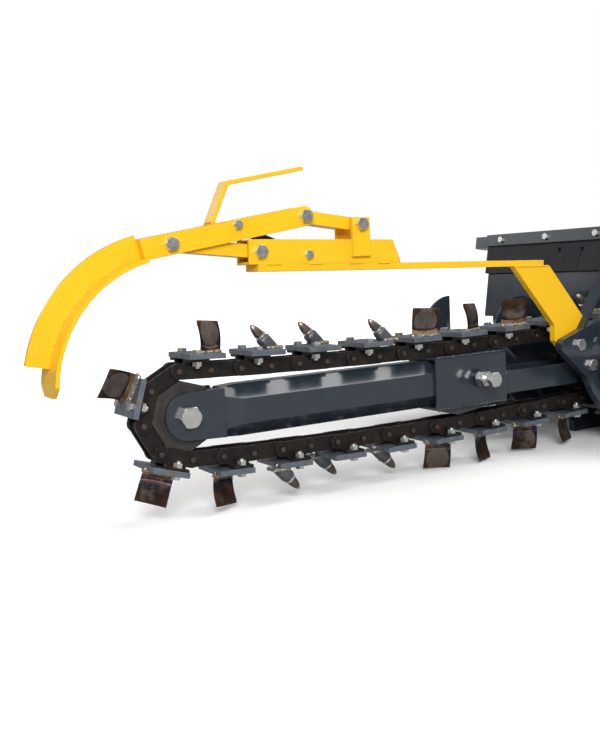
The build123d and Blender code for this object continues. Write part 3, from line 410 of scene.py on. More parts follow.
def enamel(name, colour, lighter, bare, wear, gloss, shine):
    """Sprayed enamel: faint orange peel, slow colour drift, thin dust and worn edges."""
    tree, shader = new_finish(name, Coat_Weight=shine, Coat_Roughness=0.10, Specular_IOR_Level=shine)
    edge = use_group(tree, "Eased edges", {"Radius": 0.0016, "Amount": wear})
    drift = blotches(tree, 9.0, 0.5, 0.25)
    dust = blotches(tree, 45.0, 0.35, 0.22)
    skin = use_group(tree, "Fine skin", {
        "Scale": 420.0, "Depth": 0.00006, "Normal": edge["Normal"]})
    body = colour_mix(tree, drift, colour, lighter)
    body = colour_mix(tree, maths(tree, "MULTIPLY", dust, 0.015), body, (0.45, 0.42, 0.38, 1.0))
    body = colour_mix(tree, edge["Mask"], body, bare)
    fill_inputs(tree, shader, {
        "Base Color": body,
        "Roughness": remap(tree, dust, 0.0, 1.0, gloss, gloss + 0.14),
        "Normal": skin["Normal"]})


def plated(name, colour):
    """Bright zinc plate with faint clouding and grime in patches."""
    tree, shader = new_finish(name, Metallic=1.0)
    edge = use_group(tree, "Eased edges", {"Radius": 0.0008, "Amount": 0.3})
    cloud = blotches(tree, 160.0, 0.5, 0.2)
    grime = blotches(tree, 60.0, 0.25, 0.12)
    skin = use_group(tree, "Fine skin", {
        "Scale": 900.0, "Depth": 0.00005, "Normal": edge["Normal"]})
    body = colour_mix(tree, cloud, colour, (0.80, 0.80, 0.78, 1.0))
    body = colour_mix(tree, maths(tree, "MULTIPLY", grime, 0.5), body, (0.33, 0.30, 0.24, 1.0))
    fill_inputs(tree, shader, {
        "Base Color": body,
        "Roughness": remap(tree, cloud, 0.0, 1.0, 0.24, 0.40),
        "Normal": skin["Normal"]})


def steel(name, colour, scale_colour, rust_colour, rust, rough, metal):
    """Bare steel with mill scale, rust blotches and bright worn edges."""
    tree, shader = new_finish(name, Specular_IOR_Level=0.3)
    edge = use_group(tree, "Eased edges", {"Radius": 0.0011, "Amount": 0.55})
    scale = blotches(tree, 70.0, 0.5, 0.2)
    spots = blotches(tree, 38.0, rust, 0.09)
    skin = use_group(tree, "Fine skin", {
        "Scale": 380.0, "Depth": 0.00022, "Normal": edge["Normal"]})
    body = colour_mix(tree, scale, colour, scale_colour)
    body = colour_mix(tree, maths(tree, "MULTIPLY", spots, 0.8), body, rust_colour)
    body = colour_mix(tree, edge["Mask"], body, (0.26, 0.25, 0.24, 1.0))
    fill_inputs(tree, shader, {
        "Base Color": body,
        "Metallic": remap(tree, spots, 0.0, 1.0, metal, metal * 0.35),
        "Roughness": remap(tree, scale, 0.0, 1.0, rough, rough + 0.16),
        "Normal": skin["Normal"]})


# heat tint of a knife, from its weld up to its cutting edge
HEAT_TINT = (
    (0.00, (0.20, 0.22, 0.24)), (0.13, (0.22, 0.13, 0.06)), (0.22, (0.070, 0.030, 0.028)),
    (0.32, (0.012, 0.020, 0.055)), (0.45, (0.015, 0.016, 0.026)), (0.62, (0.030, 0.019, 0.014)),
    (1.00, (0.060, 0.034, 0.022)))
PATCH_MIDDLE = (0.5, 0.62, 0.0)


def knife_finish():
    """Hot-bent knife: heat tint up from the weld, rusty scale and a round hardfaced patch."""
    tree, shader = new_finish("knife_steel", Specular_IOR_Level=0.3)
    uv = add_node(tree, "ShaderNodeUVMap").outputs["UV"]
    coords = add_node(tree, "ShaderNodeTexCoord").outputs["Object"]
    across = add_node(tree, "ShaderNodeSeparateXYZ", {"Vector": uv})
    wander = maths(tree, "MULTIPLY", maths(tree, "SUBTRACT", grain(tree, coords, 45.0), 0.5), 0.35)
    height = maths(tree, "ADD", across.outputs["Y"], wander)
    ramp = add_node(tree, "ShaderNodeValToRGB", {"Fac": height})
    elements = ramp.color_ramp.elements
    while len(elements) < len(HEAT_TINT):
        elements.new(0.5)
    for element, (place, colour) in zip(elements, HEAT_TINT):
        element.position = place
        element.color = (*colour, 1.0)
    off = add_node(tree, "ShaderNodeVectorMath", {0: uv, 1: PATCH_MIDDLE}, operation="SUBTRACT")
    reach = add_node(tree, "ShaderNodeVectorMath", {0: off.outputs[0]}, operation="LENGTH")
    ragged = maths(tree, "MULTIPLY", wander, 0.12)
    patch = remap(tree, maths(tree, "ADD", reach.outputs["Value"], ragged), 0.44, 0.415)
    pick = blotches(tree, 5.5, 0.5, 0.02)
    patch = maths(tree, "MULTIPLY", patch, pick)
    mottle = colour_mix(tree, grain(tree, coords, 420.0, 3.0), (0.070, 0.052, 0.045, 1.0),
                        (0.185, 0.150, 0.132, 1.0))
    rust = blotches(tree, 42.0, 0.36, 0.08)
    body = colour_mix(tree, maths(tree, "MULTIPLY", rust, 0.55), ramp.outputs["Color"],
                      (0.110, 0.045, 0.020, 1.0))
    body = colour_mix(tree, patch, body, mottle)
    edge = use_group(tree, "Eased edges", {"Radius": 0.0008, "Amount": 0.6})
    body = colour_mix(tree, edge["Mask"], body, (0.35, 0.27, 0.20, 1.0))
    skin = use_group(tree, "Fine skin", {"Scale": 520.0, "Depth": 0.0003, "Normal": edge["Normal"]})
    fill_inputs(tree, shader, {
        "Base Color": body,
        "Metallic": remap(tree, rust, 0.0, 1.0, 0.75, 0.35),
        "Roughness": remap(tree, patch, 0.0, 1.0, 0.40, 0.58),
        "Normal": skin["Normal"]})


def rubber_finish():
    """Moulded rubber sheet with a faint calendered grain and pale scuffs."""
    tree, shader = new_finish("rubber_sheet", Roughness=0.62)
    scuff = blotches(tree, 26.0, 0.4, 0.2)
    edge = use_group(tree, "Eased edges", {"Radius": 0.0012, "Amount": 0.4})
    skin = use_group(tree, "Fine skin", {"Scale": 700.0, "Depth": 0.0002, "Normal": edge["Normal"]})
    body = colour_mix(tree, scuff, (0.014, 0.014, 0.017, 1.0), (0.024, 0.024, 0.028, 1.0))
    body = colour_mix(tree, edge["Mask"], body, (0.09, 0.09, 0.09, 1.0))
    fill_inputs(tree, shader, {
        "Base Color": body,
        "Normal": skin["Normal"]})


def weld_finish():
    """Bare weld metal: silver ripples with straw and blue tint and brown smoke."""
    tree, shader = new_finish("weld_metal", Metallic=0.85)
    tint = blotches(tree, 55.0, 0.5, 0.15)
    smoke = blotches(tree, 120.0, 0.45, 0.12)
    skin = use_group(tree, "Fine skin", {"Scale": 900.0, "Depth": 0.0003})
    body = colour_mix(tree, tint, (0.40, 0.41, 0.42, 1.0), (0.42, 0.30, 0.14, 1.0))
    body = colour_mix(tree, maths(tree, "MULTIPLY", smoke, 0.7), body, (0.12, 0.10, 0.09, 1.0))
    fill_inputs(tree, shader, {
        "Base Color": body,
        "Roughness": remap(tree, smoke, 0.0, 1.0, 0.28, 0.5),
        "Normal": skin["Normal"]})


# each steel's colour, mill scale and rust, then its cover of rust, its roughness and its metal
STEELS = {
    "chain_steel": ((0.012, 0.011, 0.011, 1.0), (0.024, 0.020, 0.018, 1.0),
                    (0.030, 0.016, 0.010, 1.0), 0.3, 0.34, 0.4),
    "pin_steel": ((0.085, 0.068, 0.058, 1.0), (0.12, 0.080, 0.062, 1.0),
                  (0.11, 0.055, 0.032, 1.0), 0.3, 0.36, 0.8),
    "idler_steel": ((0.060, 0.053, 0.050, 1.0), (0.085, 0.075, 0.070, 1.0),
                    (0.080, 0.052, 0.038, 1.0), 0.2, 0.42, 0.7),
    "base_plate": ((0.225, 0.260, 0.300, 1.0), (0.130, 0.155, 0.190, 1.0),
                   (0.200, 0.110, 0.055, 1.0), 0.22, 0.36, 0.75),
    "tooth_steel": ((0.175, 0.150, 0.130, 1.0), (0.110, 0.097, 0.088, 1.0),
                    (0.18, 0.085, 0.04, 1.0), 0.3, 0.34, 0.85),
    "holder_steel": ((0.100, 0.108, 0.122, 1.0), (0.155, 0.168, 0.188, 1.0),
                     (0.150, 0.070, 0.035, 1.0), 0.32, 0.38, 0.75),
    "hard_point": ((0.42, 0.33, 0.28, 1.0), (0.36, 0.29, 0.25, 1.0),
                   (0.22, 0.12, 0.07, 1.0), 0.2, 0.32, 0.9),
    "spring_steel": ((0.018, 0.018, 0.020, 1.0), (0.040, 0.038, 0.038, 1.0),
                     (0.06, 0.03, 0.02, 1.0), 0.2, 0.3, 0.8)}


def build_finishes(settings):
    """The node groups, then every finish of the trencher."""
    build_edge_group()
    build_blotch_group()
    build_skin_group()
    enamel("yellow_paint", tuple(settings.yellow), (0.920, 0.540, 0.010, 1.0),
           (0.55, 0.30, 0.04, 1.0), 0.35, 0.30, 0.3)
    enamel("dark_paint", tuple(settings.dark), (0.021, 0.031, 0.042, 1.0),
           (0.07, 0.08, 0.09, 1.0), 0.55, 0.16, 0.4)
    plated("zinc", tuple(settings.zinc))
    for name, values in STEELS.items():
        steel(name, *values)
    knife_finish()
    rubber_finish()
    weld_finish()


# ---------- mesh helpers ----------
SHARP = math.radians(32)


def soften(bm):
    """Smooth shading that breaks at sharp edges."""
    for face in bm.faces:
        face.smooth = True
    for edge in bm.edges:
        edge.smooth = len(edge.link_faces) == 2 and edge.calc_face_angle(0.0) < SHARP


def chamfer(bm, edges, width):
    """A flat chamfer along the given edges."""
    bmesh.ops.bevel(bm, geom=edges, offset=width, offset_type="OFFSET", segments=1,
                    profile=0.5, affect="EDGES", material=-1, clamp_overlap=True)


def ease_edges(bm, width, limit=SHARP):
    """Chamfer every edge sharper than the given angle."""
    chamfer(bm, [edge for edge in bm.edges
                 if len(edge.link_faces) == 2 and edge.calc_face_angle(0.0) > limit], width)


def as_mesh(name, bm):
    """A closed bmesh turned into a mesh, with its normals outward."""
    bmesh.ops.recalc_face_normals(bm, faces=bm.faces)
    soften(bm)
    mesh = bpy.data.meshes.new(name)
    bm.to_mesh(mesh)
    bm.free()
    return mesh


def finished(name, bm, body, finishes, replaced=()):
    """Link a piece into the scene, with its finishes, on its body."""
    mesh = as_mesh(name, bm)
    for finish in finishes:
        mesh.materials.append(FINISHES[finish])
    piece = bpy.data.objects.new(name, mesh)
    bpy.context.scene.collection.objects.link(piece)
    if body:
        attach(piece, body)
    if replaced:
        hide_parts(*replaced)
    return piece


def copies(template, places):
    """One bmesh that holds the template at each place. The template is used up."""
    bm = bmesh.new()
    for place in places:
        copy = template.copy()
        copy.transform(place)
        bm.from_mesh(copy)
        bpy.data.meshes.remove(copy)
    bpy.data.meshes.remove(template)
    return bm


def turned_profile(bm, profile, steps):
    """Spin a profile of (radius, height) points about Z into a closed solid."""
    corners = [bm.verts.new((radius, 0, height)) for radius, height in profile]
    edges = [bm.edges.new(pair) for pair in zip(corners, corners[1:])]
    bmesh.ops.spin(bm, geom=corners + edges, cent=(0, 0, 0), axis=(0, 0, 1),
                   angle=math.tau, steps=steps, use_merge=True, use_duplicate=False)
    bmesh.ops.remove_doubles(bm, verts=bm.verts, dist=1e-6)


def add_box(bm, low, high):
    """A box between two corners."""
    low = Vector(low)
    high = Vector(high)
    shape = Matrix.Translation((low + high) / 2) @ Matrix.Diagonal((*(high - low), 1.0))
    bmesh.ops.create_cube(bm, size=1.0, matrix=shape)


def add_rod(bm, start, end, radius, sides):
    """A round rod from start to end."""
    start = Vector(start)
    along = Vector(end) - start
    place = Matrix.Translation(start + along / 2) @ along.to_track_quat("Z", "Y").to_matrix().to_4x4()
    bmesh.ops.create_cone(bm, cap_ends=True, segments=sides, radius1=radius, radius2=radius,
                          depth=along.length, matrix=place)


def add_bead(bm, start, end, radius, rng):
    """A weld bead: overlapping ripples from start to end."""
    start = Vector(start)
    end = Vector(end)
    count = max(2, round((end - start).length / (radius * 0.75)))
    for k in range(count + 1):
        place = start.lerp(end, k / count)
        size = radius * rng.uniform(0.88, 1.1)
        turn = Matrix.Rotation(rng.uniform(0, math.tau), 4, "X")
        bmesh.ops.create_icosphere(bm, subdivisions=1, radius=size,
                                   matrix=Matrix.Translation(place) @ turn)


# ---------- the chain's links ----------
def pin_places(chain):
    """Pins from the top of the nose wheel, along the top run and back underneath."""
    radius = chain.pitch / (2 * math.sin(math.pi / chain.wheel_links))
    turn = math.tau / chain.wheel_links
    half = chain.wheel_links // 2
    slopes = [-chain.slope + 2 * chain.slope * k / (chain.run_links - 1)
              for k in range(chain.run_links)]
    first = math.pi / 2 + chain.phase
    places = [(NOSE.x + radius * math.cos(first), NOSE.z + radius * math.sin(first))]
    for slope in slopes:
        x, z = places[-1]
        places.append((x + chain.pitch * math.cos(slope), z + chain.pitch * math.sin(slope)))
    for k in range(1, half + 1):
        angle = first - k * turn
        places.append((HEAD.x + radius * math.cos(angle), HEAD.z + radius * math.sin(angle)))
    for slope in slopes:
        x, z = places[-1]
        places.append((x - chain.pitch * math.cos(slope), z + chain.pitch * math.sin(slope)))
    for k in range(1, half):
        angle = first - math.pi - k * turn
        places.append((NOSE.x + radius * math.cos(angle), NOSE.z + radius * math.sin(angle)))
    return places


def link_places(chain):
    """A matrix for each link, from its first pin, with X along the link and Z outwards."""
    pins = pin_places(chain)
    places = []
    for (x0, z0), (x1, z1) in zip(pins, pins[1:] + pins[:1]):
        turn = Matrix.Rotation(-math.atan2(z1 - z0, x1 - x0), 4, "Y")
        places.append(Matrix.Translation((x0, HEAD.y, z0)) @ turn)
    return places


def is_tooth_link(number):
    """Three bullet teeth in a row stand on three stretches of the chain."""
    return number in (3, 5, 7, 17, 19, 21, 31, 33, 35)


def cutter_links(chain, with_tooth):
    """Place and order of each cutter link of one kind."""
    odd = [(k, place) for k, place in enumerate(link_places(chain), start=1) if k % 2]
    return [place for k, place in odd if is_tooth_link(k) == with_tooth]


# ---------- knives and teeth ----------
def knife_places(settings):
    """Each knife's own frame: root at the origin, Z up the knife."""
    chain = settings.chain
    knife = settings.knife
    places = []
    for order, link in enumerate(cutter_links(chain, False)):
        hand = 1 if order % 2 == 0 else -1
        root = Matrix.Translation((chain.pitch / 2 + knife.back, knife.aside, chain.plate_z))
        turn = Matrix.Rotation(hand * knife.yaw, 4, "Z")
        mirror = Matrix.Diagonal((1, hand, 1, 1))
        places.append(link @ root @ turn @ mirror)
    return places


KNIFE_WIDEN = 0.05       # growth of the width up to the cutting edge, as a share of it
KNIFE_SKEW = 0.06        # sideways drift of the edge, as a share of the width
KNIFE_CURL = 2.1         # power by which the edge bends outwards
KNIFE_ARCH = 0.0012      # belly across the width
KNIFE_SLANT = 0.05       # drop of the edge's far corner, as a share of the height


def knife_mesh(knife):
    """A curved plate, wider at its cutting edge, with eased edges and its own UV map."""
    bm = bmesh.new()
    bm.loops.layers.uv.new("UVMap")
    bmesh.ops.create_grid(bm, x_segments=8, y_segments=12, size=0.5, calc_uvs=True)
    for vert in bm.verts:
        up = vert.co.y + 0.5
        widen = 1.0 + KNIFE_WIDEN * up
        skew = KNIFE_SKEW * up
        arch = 4 * vert.co.x * vert.co.x - 1
        along = (vert.co.x * widen + skew) * knife.width
        out = knife.flare * (up ** KNIFE_CURL) - knife.lean * up - KNIFE_ARCH * arch * up
        tall = knife.height * (up - KNIFE_SLANT * up * up * (vert.co.x + 0.5))
        vert.co = Vector((along, out, tall))
    bmesh.ops.solidify(bm, geom=bm.faces[:], thickness=knife.thickness)
    bmesh.ops.translate(bm, verts=bm.verts, vec=(0, -knife.thickness / 2, 0))
    ease_edges(bm, 0.0006, math.radians(60))
    return as_mesh("knife", bm)


HOLDER_FOOT = -0.004
HOLDER_TOP = 0.026
COLLAR_TOP = 0.0292
POINT_FOOT = 0.0455
# collar and bullet, then the tail under the holder, as (radius, height) points
BULLET = ((0, 0.0255), (0.0088, 0.0255), (0.0092, 0.0262), (0.0092, 0.0284), (0.0080, 0.0290),
          (0.0074, 0.0292), (0.0077, 0.0315), (0.0074, 0.0355), (0.0064, 0.0405),
          (0.0050, 0.0450), (0.0042, 0.0468), (0.0030, 0.0492), (0.0016, 0.0506), (0, 0.0510))
TAIL = ((0, -0.0085), (0.0035, -0.0085), (0.0040, -0.0078), (0.0040, -0.004), (0, -0.004))
TOOTH_FINISHES = ("holder_steel", "zinc", "tooth_steel", "hard_point")


def tooth_mesh(tooth):
    """Chamfered holder block, bright collar and a tapered bullet with a hard point."""
    half = tooth.holder / 2
    bm = bmesh.new()
    add_box(bm, (-half, -half, HOLDER_FOOT), (half, half, HOLDER_TOP))
    chamfer(bm, bm.edges[:], tooth.holder * 0.2)
    ease_edges(bm, 0.0007)
    holder = set(bm.faces)
    turned_profile(bm, BULLET, 20)
    turned_profile(bm, TAIL, 12)
    for face in bm.faces:
        if face in holder:
            continue
        height = face.calc_center_median().z
        if height > POINT_FOOT:
            finish = "hard_point"
        elif height > COLLAR_TOP:
            finish = "tooth_steel"
        else:
            finish = "zinc"
        face.material_index = TOOTH_FINISHES.index(finish)
    return as_mesh("tooth", bm)


def tooth_foot_mesh(tooth):
    """The weld that fills in under a leaning holder."""
    bm = bmesh.new()
    rng = random.Random(4)
    half = tooth.holder / 2
    for side in (-1, 1):
        add_bead(bm, (-half, side * half, 0.0015), (half * 1.3, side * half, 0.0015), 0.0034, rng)
    add_bead(bm, (-half * 1.1, -half, 0.0015), (-half * 1.1, half, 0.0015), 0.0036, rng)
    add_bead(bm, (half * 1.3, -half, 0.0015), (half * 1.3, half, 0.0015), 0.0032, rng)
    return as_mesh("foot", bm)


def tooth_places(settings):
    """Each tooth's foot on its plate, before it leans."""
    chain = settings.chain
    tooth = settings.tooth
    places = []
    for order, link in enumerate(cutter_links(chain, True)):
        offset = (0, tooth.side, -tooth.side)[order % 3]
        places.append(link @ Matrix.Translation(
            (chain.pitch / 2 + tooth.back, offset, chain.plate_z)))
    return places


# ---------- stage and finishes ----------
BACKDROP = (1, 1, 1, 1)


class TRENCHER_OT_stage(bpy.types.Operator):
    """Camera, floor, soft lights and white surroundings"""
    bl_idname = "trencher.stage"
    bl_label = "Set the stage"

    def execute(self, context):
        stage = context.scene.trencher.stage
        data = bpy.data.cameras.new("camera")
        data.sensor_fit = "HORIZONTAL"
        data.sensor_width = 36.0
        data.lens = stage.lens
        data.clip_end = 200.0
        camera = bpy.data.objects.new("camera", data)
        ahead = Vector((math.cos(stage.pitch) * math.sin(stage.yaw),
                        math.cos(stage.pitch) * math.cos(stage.yaw), -math.sin(stage.pitch)))
        right = Vector((math.cos(stage.yaw), -math.sin(stage.yaw), 0.0))
        up = right.cross(ahead)
        side = math.cos(stage.roll) * right + math.sin(stage.roll) * up
        top = -math.sin(stage.roll) * right + math.cos(stage.roll) * up
        turn = Matrix((side, top, -ahead)).transposed().to_4x4()
        camera.matrix_world = Matrix.Translation(Vector(stage.eye)) @ turn
        context.scene.collection.objects.link(camera)
        context.scene.camera = camera

        bm = bmesh.new()
        bmesh.ops.create_grid(bm, x_segments=1, y_segments=1, size=30.0)
        bmesh.ops.translate(bm, verts=bm.verts, vec=(0, 0, FLOOR - 0.0005))
        mesh = bpy.data.meshes.new("floor")
        bm.to_mesh(mesh)
        bm.free()
        tree, shader = new_finish("pale_floor", Roughness=0.9)
        coords = add_node(tree, "ShaderNodeTexCoord").outputs["Object"]
        tone = colour_mix(tree, grain(tree, coords, 2.0), (0.94, 0.94, 0.94, 1),
                          (0.96, 0.96, 0.96, 1))
        reach = add_node(tree, "ShaderNodeVectorMath", {0: coords}, operation="LENGTH")
        seen = add_node(tree, "ShaderNodeLightPath").outputs["Is Camera Ray"]
        # painted shade: the floor is pale to the camera, but to bounce and reflection rays it is a 0.42 grey,
        # which darkens the machine's undersides
        base = colour_mix(tree, seen, (0.42, 0.42, 0.42, 1), tone)
        tree.links.new(base, shader.inputs["Base Color"])
        glow = maths(tree, "MULTIPLY", remap(tree, reach.outputs["Value"], 0.9, 2.6), seen)
        shader.inputs["Emission Color"].default_value = BACKDROP
        tree.links.new(glow, shader.inputs["Emission Strength"])
        mesh.materials.append(FINISHES["pale_floor"])
        floor = bpy.data.objects.new("floor", mesh)
        context.scene.collection.objects.link(floor)

        lamps = (("key", (-2.4, -3.0, 1.7), 1.6, stage.key),
                 ("top", (1.4, -0.5, 3.0), 2.4, stage.top),
                 ("rim", (-2.2, 3.0, 1.8), 2.0, stage.key * 0.15))
        middle = (CAD_BOX[0] + CAD_BOX[1]) / 2
        for name, place, size, power in lamps:
            lamp = bpy.data.lights.new(name, "AREA")
            lamp.energy = power
            lamp.size = size
            holder = bpy.data.objects.new(name, lamp)
            holder.location = place
            holder.rotation_euler = (middle - Vector(place)).to_track_quat("-Z", "Y").to_euler()
            context.scene.collection.objects.link(holder)

        world = bpy.data.worlds.new("surroundings")
        world.use_nodes = True
        tree = world.node_tree
        tree.nodes["Background"].inputs["Color"].default_value = BACKDROP
        ahead = add_node(tree, "ShaderNodeTexCoord").outputs["Generated"]
        height = add_node(tree, "ShaderNodeSeparateXYZ", {"Vector": ahead}).outputs["Z"]
        given = remap(tree, height, 0.0, 1.0, stage.sky, stage.zenith)
        seen = add_node(tree, "ShaderNodeLightPath").outputs["Is Camera Ray"]
        extra = maths(tree, "MULTIPLY", maths(tree, "SUBTRACT", 1.0, given), seen)
        tree.links.new(maths(tree, "ADD", given, extra),
                       tree.nodes["Background"].inputs["Strength"])
        context.scene.world = world
        context.scene.view_settings.view_transform = "Standard"
        return {"FINISHED"}


class TRENCHER_OT_finishes(bpy.types.Operator):
    """Finishes for every sub-part of the frame"""
    bl_idname = "trencher.finishes"
    bl_label = "Paint the sub-parts"

    def execute(self, context):
        build_finishes(context.scene.trencher.finish)
        for entry in frame["record"]["subparts"]:
            part = NODES[entry["node"]]
            part.data.materials.clear()
            part.data.materials.append(FINISHES[entry["material_slot"]])
        return {"FINISHED"}


# ---------- knives and teeth on the chain ----------
class TRENCHER_OT_knives(bpy.types.Operator):
    """Curved knives and the welds that hold them to their plates"""
    bl_idname = "trencher.knives"
    bl_label = "Fit the knives"

    def execute(self, context):
        settings = context.scene.trencher
        places = knife_places(settings)
        bm = copies(knife_mesh(settings.knife), places)
        finished("knives", bm, "frame", ["knife_steel"],
                 ["cutter_knives_top", "cutter_knives_bottom", "cutter_knives_nose"])
        half = settings.knife.width / 2
        aside = settings.knife.thickness / 2 + 0.0012
        bm = bmesh.new()
        rng = random.Random(7)
        for side in (-1, 1):
            add_bead(bm, (-half, side * aside, 0.0008), (half, side * aside, 0.0008), 0.0030, rng)
        beads = copies(as_mesh("bead", bm), places)
        finished("knife_welds", beads, "frame", ["weld_metal"])
        return {"FINISHED"}


class TRENCHER_OT_teeth(bpy.types.Operator):
    """Bullet teeth in their holders, with the welds at their feet"""
    bl_idname = "trencher.teeth"
    bl_label = "Fit the bullet teeth"

    def execute(self, context):
        settings = context.scene.trencher
        places = tooth_places(settings)
        lean = Matrix.Rotation(-settings.tooth.tilt, 4, "Y")
        bm = copies(tooth_mesh(settings.tooth), [place @ lean for place in places])
        finished("bullet_teeth", bm, "frame", TOOTH_FINISHES, ["cutter_teeth"])
        bm = copies(tooth_foot_mesh(settings.tooth), places)
        finished("tooth_welds", bm, "frame", ["weld_metal"])
        return {"FINISHED"}


# ---------- spring ----------
WIRE_SIDES = 6
COIL_STEPS = 12
EYE_STEPS = 18


def spring_place(spring):
    """The spring's own frame: X from the bolt in the channel to the hook's bolt."""
    turn = Vector(spring.reach).to_track_quat("X", "Z").to_matrix().to_4x4()
    return Matrix.Translation(SPRING_FOOT) @ turn


def spring_shape(spring):
    """A close-wound coil of wire with a bent end and an eye round its bolt."""
    bm = bmesh.new()
    steps = COIL_STEPS * spring.turns
    advance = (spring.last - spring.first) / steps
    start = Matrix.Translation((spring.first, 0, spring.coil))
    bmesh.ops.create_circle(bm, cap_ends=False, radius=spring.wire, segments=WIRE_SIDES,
                            matrix=start @ Matrix.Rotation(math.pi / 2, 4, "X"))
    bmesh.ops.spin(bm, geom=bm.verts[:] + bm.edges[:], cent=(0, 0, 0), axis=(1, 0, 0),
                   dvec=(advance, 0, 0), angle=math.tau * spring.turns,
                   steps=steps, use_merge=False, use_duplicate=False)
    bmesh.ops.holes_fill(bm, edges=[edge for edge in bm.edges if edge.is_boundary], sides=0)
    before = set(bm.verts)
    bmesh.ops.create_circle(bm, cap_ends=False, radius=spring.wire, segments=WIRE_SIDES,
                            matrix=Matrix.Translation((spring.eye, 0, 0)))
    fresh = [vert for vert in bm.verts if vert not in before]
    rim = {edge for vert in fresh for edge in vert.link_edges}
    bmesh.ops.spin(bm, geom=fresh + list(rim), cent=(0, 0, 0), axis=(0, 1, 0), angle=math.tau,
                   steps=EYE_STEPS, use_merge=True, use_duplicate=False)
    bend = spring.first - spring.wire
    add_rod(bm, (spring.eye, 0, 0), (bend, 0, 0), spring.wire, WIRE_SIDES)
    add_rod(bm, (bend, 0, -spring.wire), (bend, 0, spring.coil), spring.wire, WIRE_SIDES)
    bm.transform(spring_place(spring))
    return bm


class TRENCHER_OT_spring(bpy.types.Operator):
    """Wire coil that pulls the crumber down, stretched between its two bolts"""
    bl_idname = "trencher.spring"
    bl_label = "Wind the spring"

    def execute(self, context):
        spring = context.scene.trencher.spring
        piece = finished("spring_wire", spring_shape(spring), None,
                         ["spring_steel"], ["spring_coil"])
        place = spring_place(spring)
        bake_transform(piece)
        return {"FINISHED"}


# ---------- rubber flap ----------
# HOOD_TOP is from the middle of the head shaft, and places on the sheet are (across, up) from it
HOOD_TOP = (0.140, 0, 0.256)
SHEET_TOP = -0.002
TORN_HOLE = (0.1292, -0.0430)
OPEN_HOLE = (0.1926, -0.0425)
SLIT_PLACE = 0.1424
SLIT_GAP = 0.0010        # half the slit's width
SLIT_MOUTH = 0.15        # half the angle that the slit opens in its hole
BOLT_HOLES = (0.370, 0.230, 0.090)
BOLT_HOLE_END = 0.022    # from the near end of the sheet
BOLT_HOLE_DROP = -0.013
BOLT_HOLE_RADIUS = 0.0041
HOLE_STEPS = 18
EDGE_STEP = 0.02
WAVE_FROM = 0.03         # below the top of the hood
WAVES = (31.0, 74.0)


def loop_of(bm, points):
    """A closed loop of edges through (y, z) points on the sheet."""
    corners = [bm.verts.new((0, y, z)) for y, z in points]
    return [bm.edges.new(pair) for pair in zip(corners, corners[1:] + corners[:1])]


def circle_points(middle, radius, start, turn, steps):
    """Points along part of a circle on the sheet."""
    angles = [start + turn * k / steps for k in range(steps + 1)]
    return [(middle[0] + radius * math.cos(a), middle[1] + radius * math.sin(a)) for a in angles]


def edge_points(start, end, low):
    """Points along the sheet's free edge, close enough to carry its wave."""
    count = max(2, round(abs(end - start) / EDGE_STEP))
    return [(start + (end - start) * k / count, low) for k in range(count + 1)]


def flap_shape(flap):
    """A rubber sheet with bolt holes, an open hole, and a slit down from a second one."""
    near, far = (bound.y - HEAD.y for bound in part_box("rubber_flap"))
    low = -flap.height
    start = math.atan2(low - TORN_HOLE[1], SLIT_PLACE - TORN_HOLE[0])
    outline = [(near, SHEET_TOP), (far, SHEET_TOP)] + edge_points(far, SLIT_PLACE + SLIT_GAP, low)
    outline += circle_points(TORN_HOLE, flap.hole, start + SLIT_MOUTH,
                             math.tau - 2 * SLIT_MOUTH, HOLE_STEPS)
    outline += edge_points(SLIT_PLACE - SLIT_GAP, near, low)
    bm = bmesh.new()
    edges = loop_of(bm, outline)
    holes = [(OPEN_HOLE, flap.hole)]
    holes += [((y, BOLT_HOLE_DROP), BOLT_HOLE_RADIUS)
              for y in BOLT_HOLES + (near + BOLT_HOLE_END,)]
    for middle, radius in holes:
        edges += loop_of(bm, circle_points(middle, radius, 0, math.tau, HOLE_STEPS)[:-1])
    bmesh.ops.triangle_fill(bm, use_beauty=True, use_dissolve=False, edges=edges)
    made = bmesh.ops.extrude_face_region(bm, geom=bm.faces[:])
    front = [item for item in made["geom"] if isinstance(item, bmesh.types.BMVert)]
    bmesh.ops.translate(bm, verts=front, vec=(-flap.thickness, 0, 0))
    slow, quick = WAVES
    for vert in bm.verts:
        drop = max(0.0, (-WAVE_FROM - vert.co.z) / (flap.height - WAVE_FROM))
        ripple = 0.55 + 0.45 * math.sin(vert.co.y * slow) + 0.25 * math.sin(vert.co.y * quick)
        vert.co.x -= flap.wave * max(0.0, ripple) * drop ** 1.5
    place = Matrix.Translation(from_head(*HOOD_TOP)) @ Matrix.Rotation(flap.lean, 4, "Y")
    bm.transform(place)
    return bm


class TRENCHER_OT_flap(bpy.types.Operator):
    """Rubber flap that hangs in front of the hood"""
    bl_idname = "trencher.flap"
    bl_label = "Hang the flap"

    def execute(self, context):
        bm = flap_shape(context.scene.trencher.flap)
        finished("flap_sheet", bm, "frame", ["rubber_sheet"], ["rubber_flap"])
        return {"FINISHED"}


# ---------- welds ----------
# Places are from the middle of the nose idler. HANDLE_FEET, POST_OUTLINE and LEG_TOP hold
# (x, z) points, and CHEEK_UPRIGHT and CHEEK_LEVEL hold (y, z) points.
RIB_CENTRE = (-0.005, 0, 0.048)
RIB_RADIUS = 0.1885
RIB_SIDE = 0.0048
RIB_STITCHES = 7
RIB_FIRST = 107.0        # angle of the first stitch, in degrees
RIB_STEP = 9.2           # angle from stitch to stitch
RIB_PART = 1.6           # angle of one of a stitch's three parts
HANDLE_FEET = ((0.0625, 0.2768), (0.0700, 0.2780))
HANDLE_SIDE = 0.0125
POST_OUTLINE = ((0.303, 0.246), (0.303, 0.220), (0.337, 0.219), (0.337, 0.245))
POST_SIDE = 0.0205
CHANNEL_STITCHES = (0.150, 0.225, 0.300, 0.355)
CHANNEL_STITCH = ((0.0, 0.2152), (0.022, 0.2145))  # (along, height) of a stitch's two ends
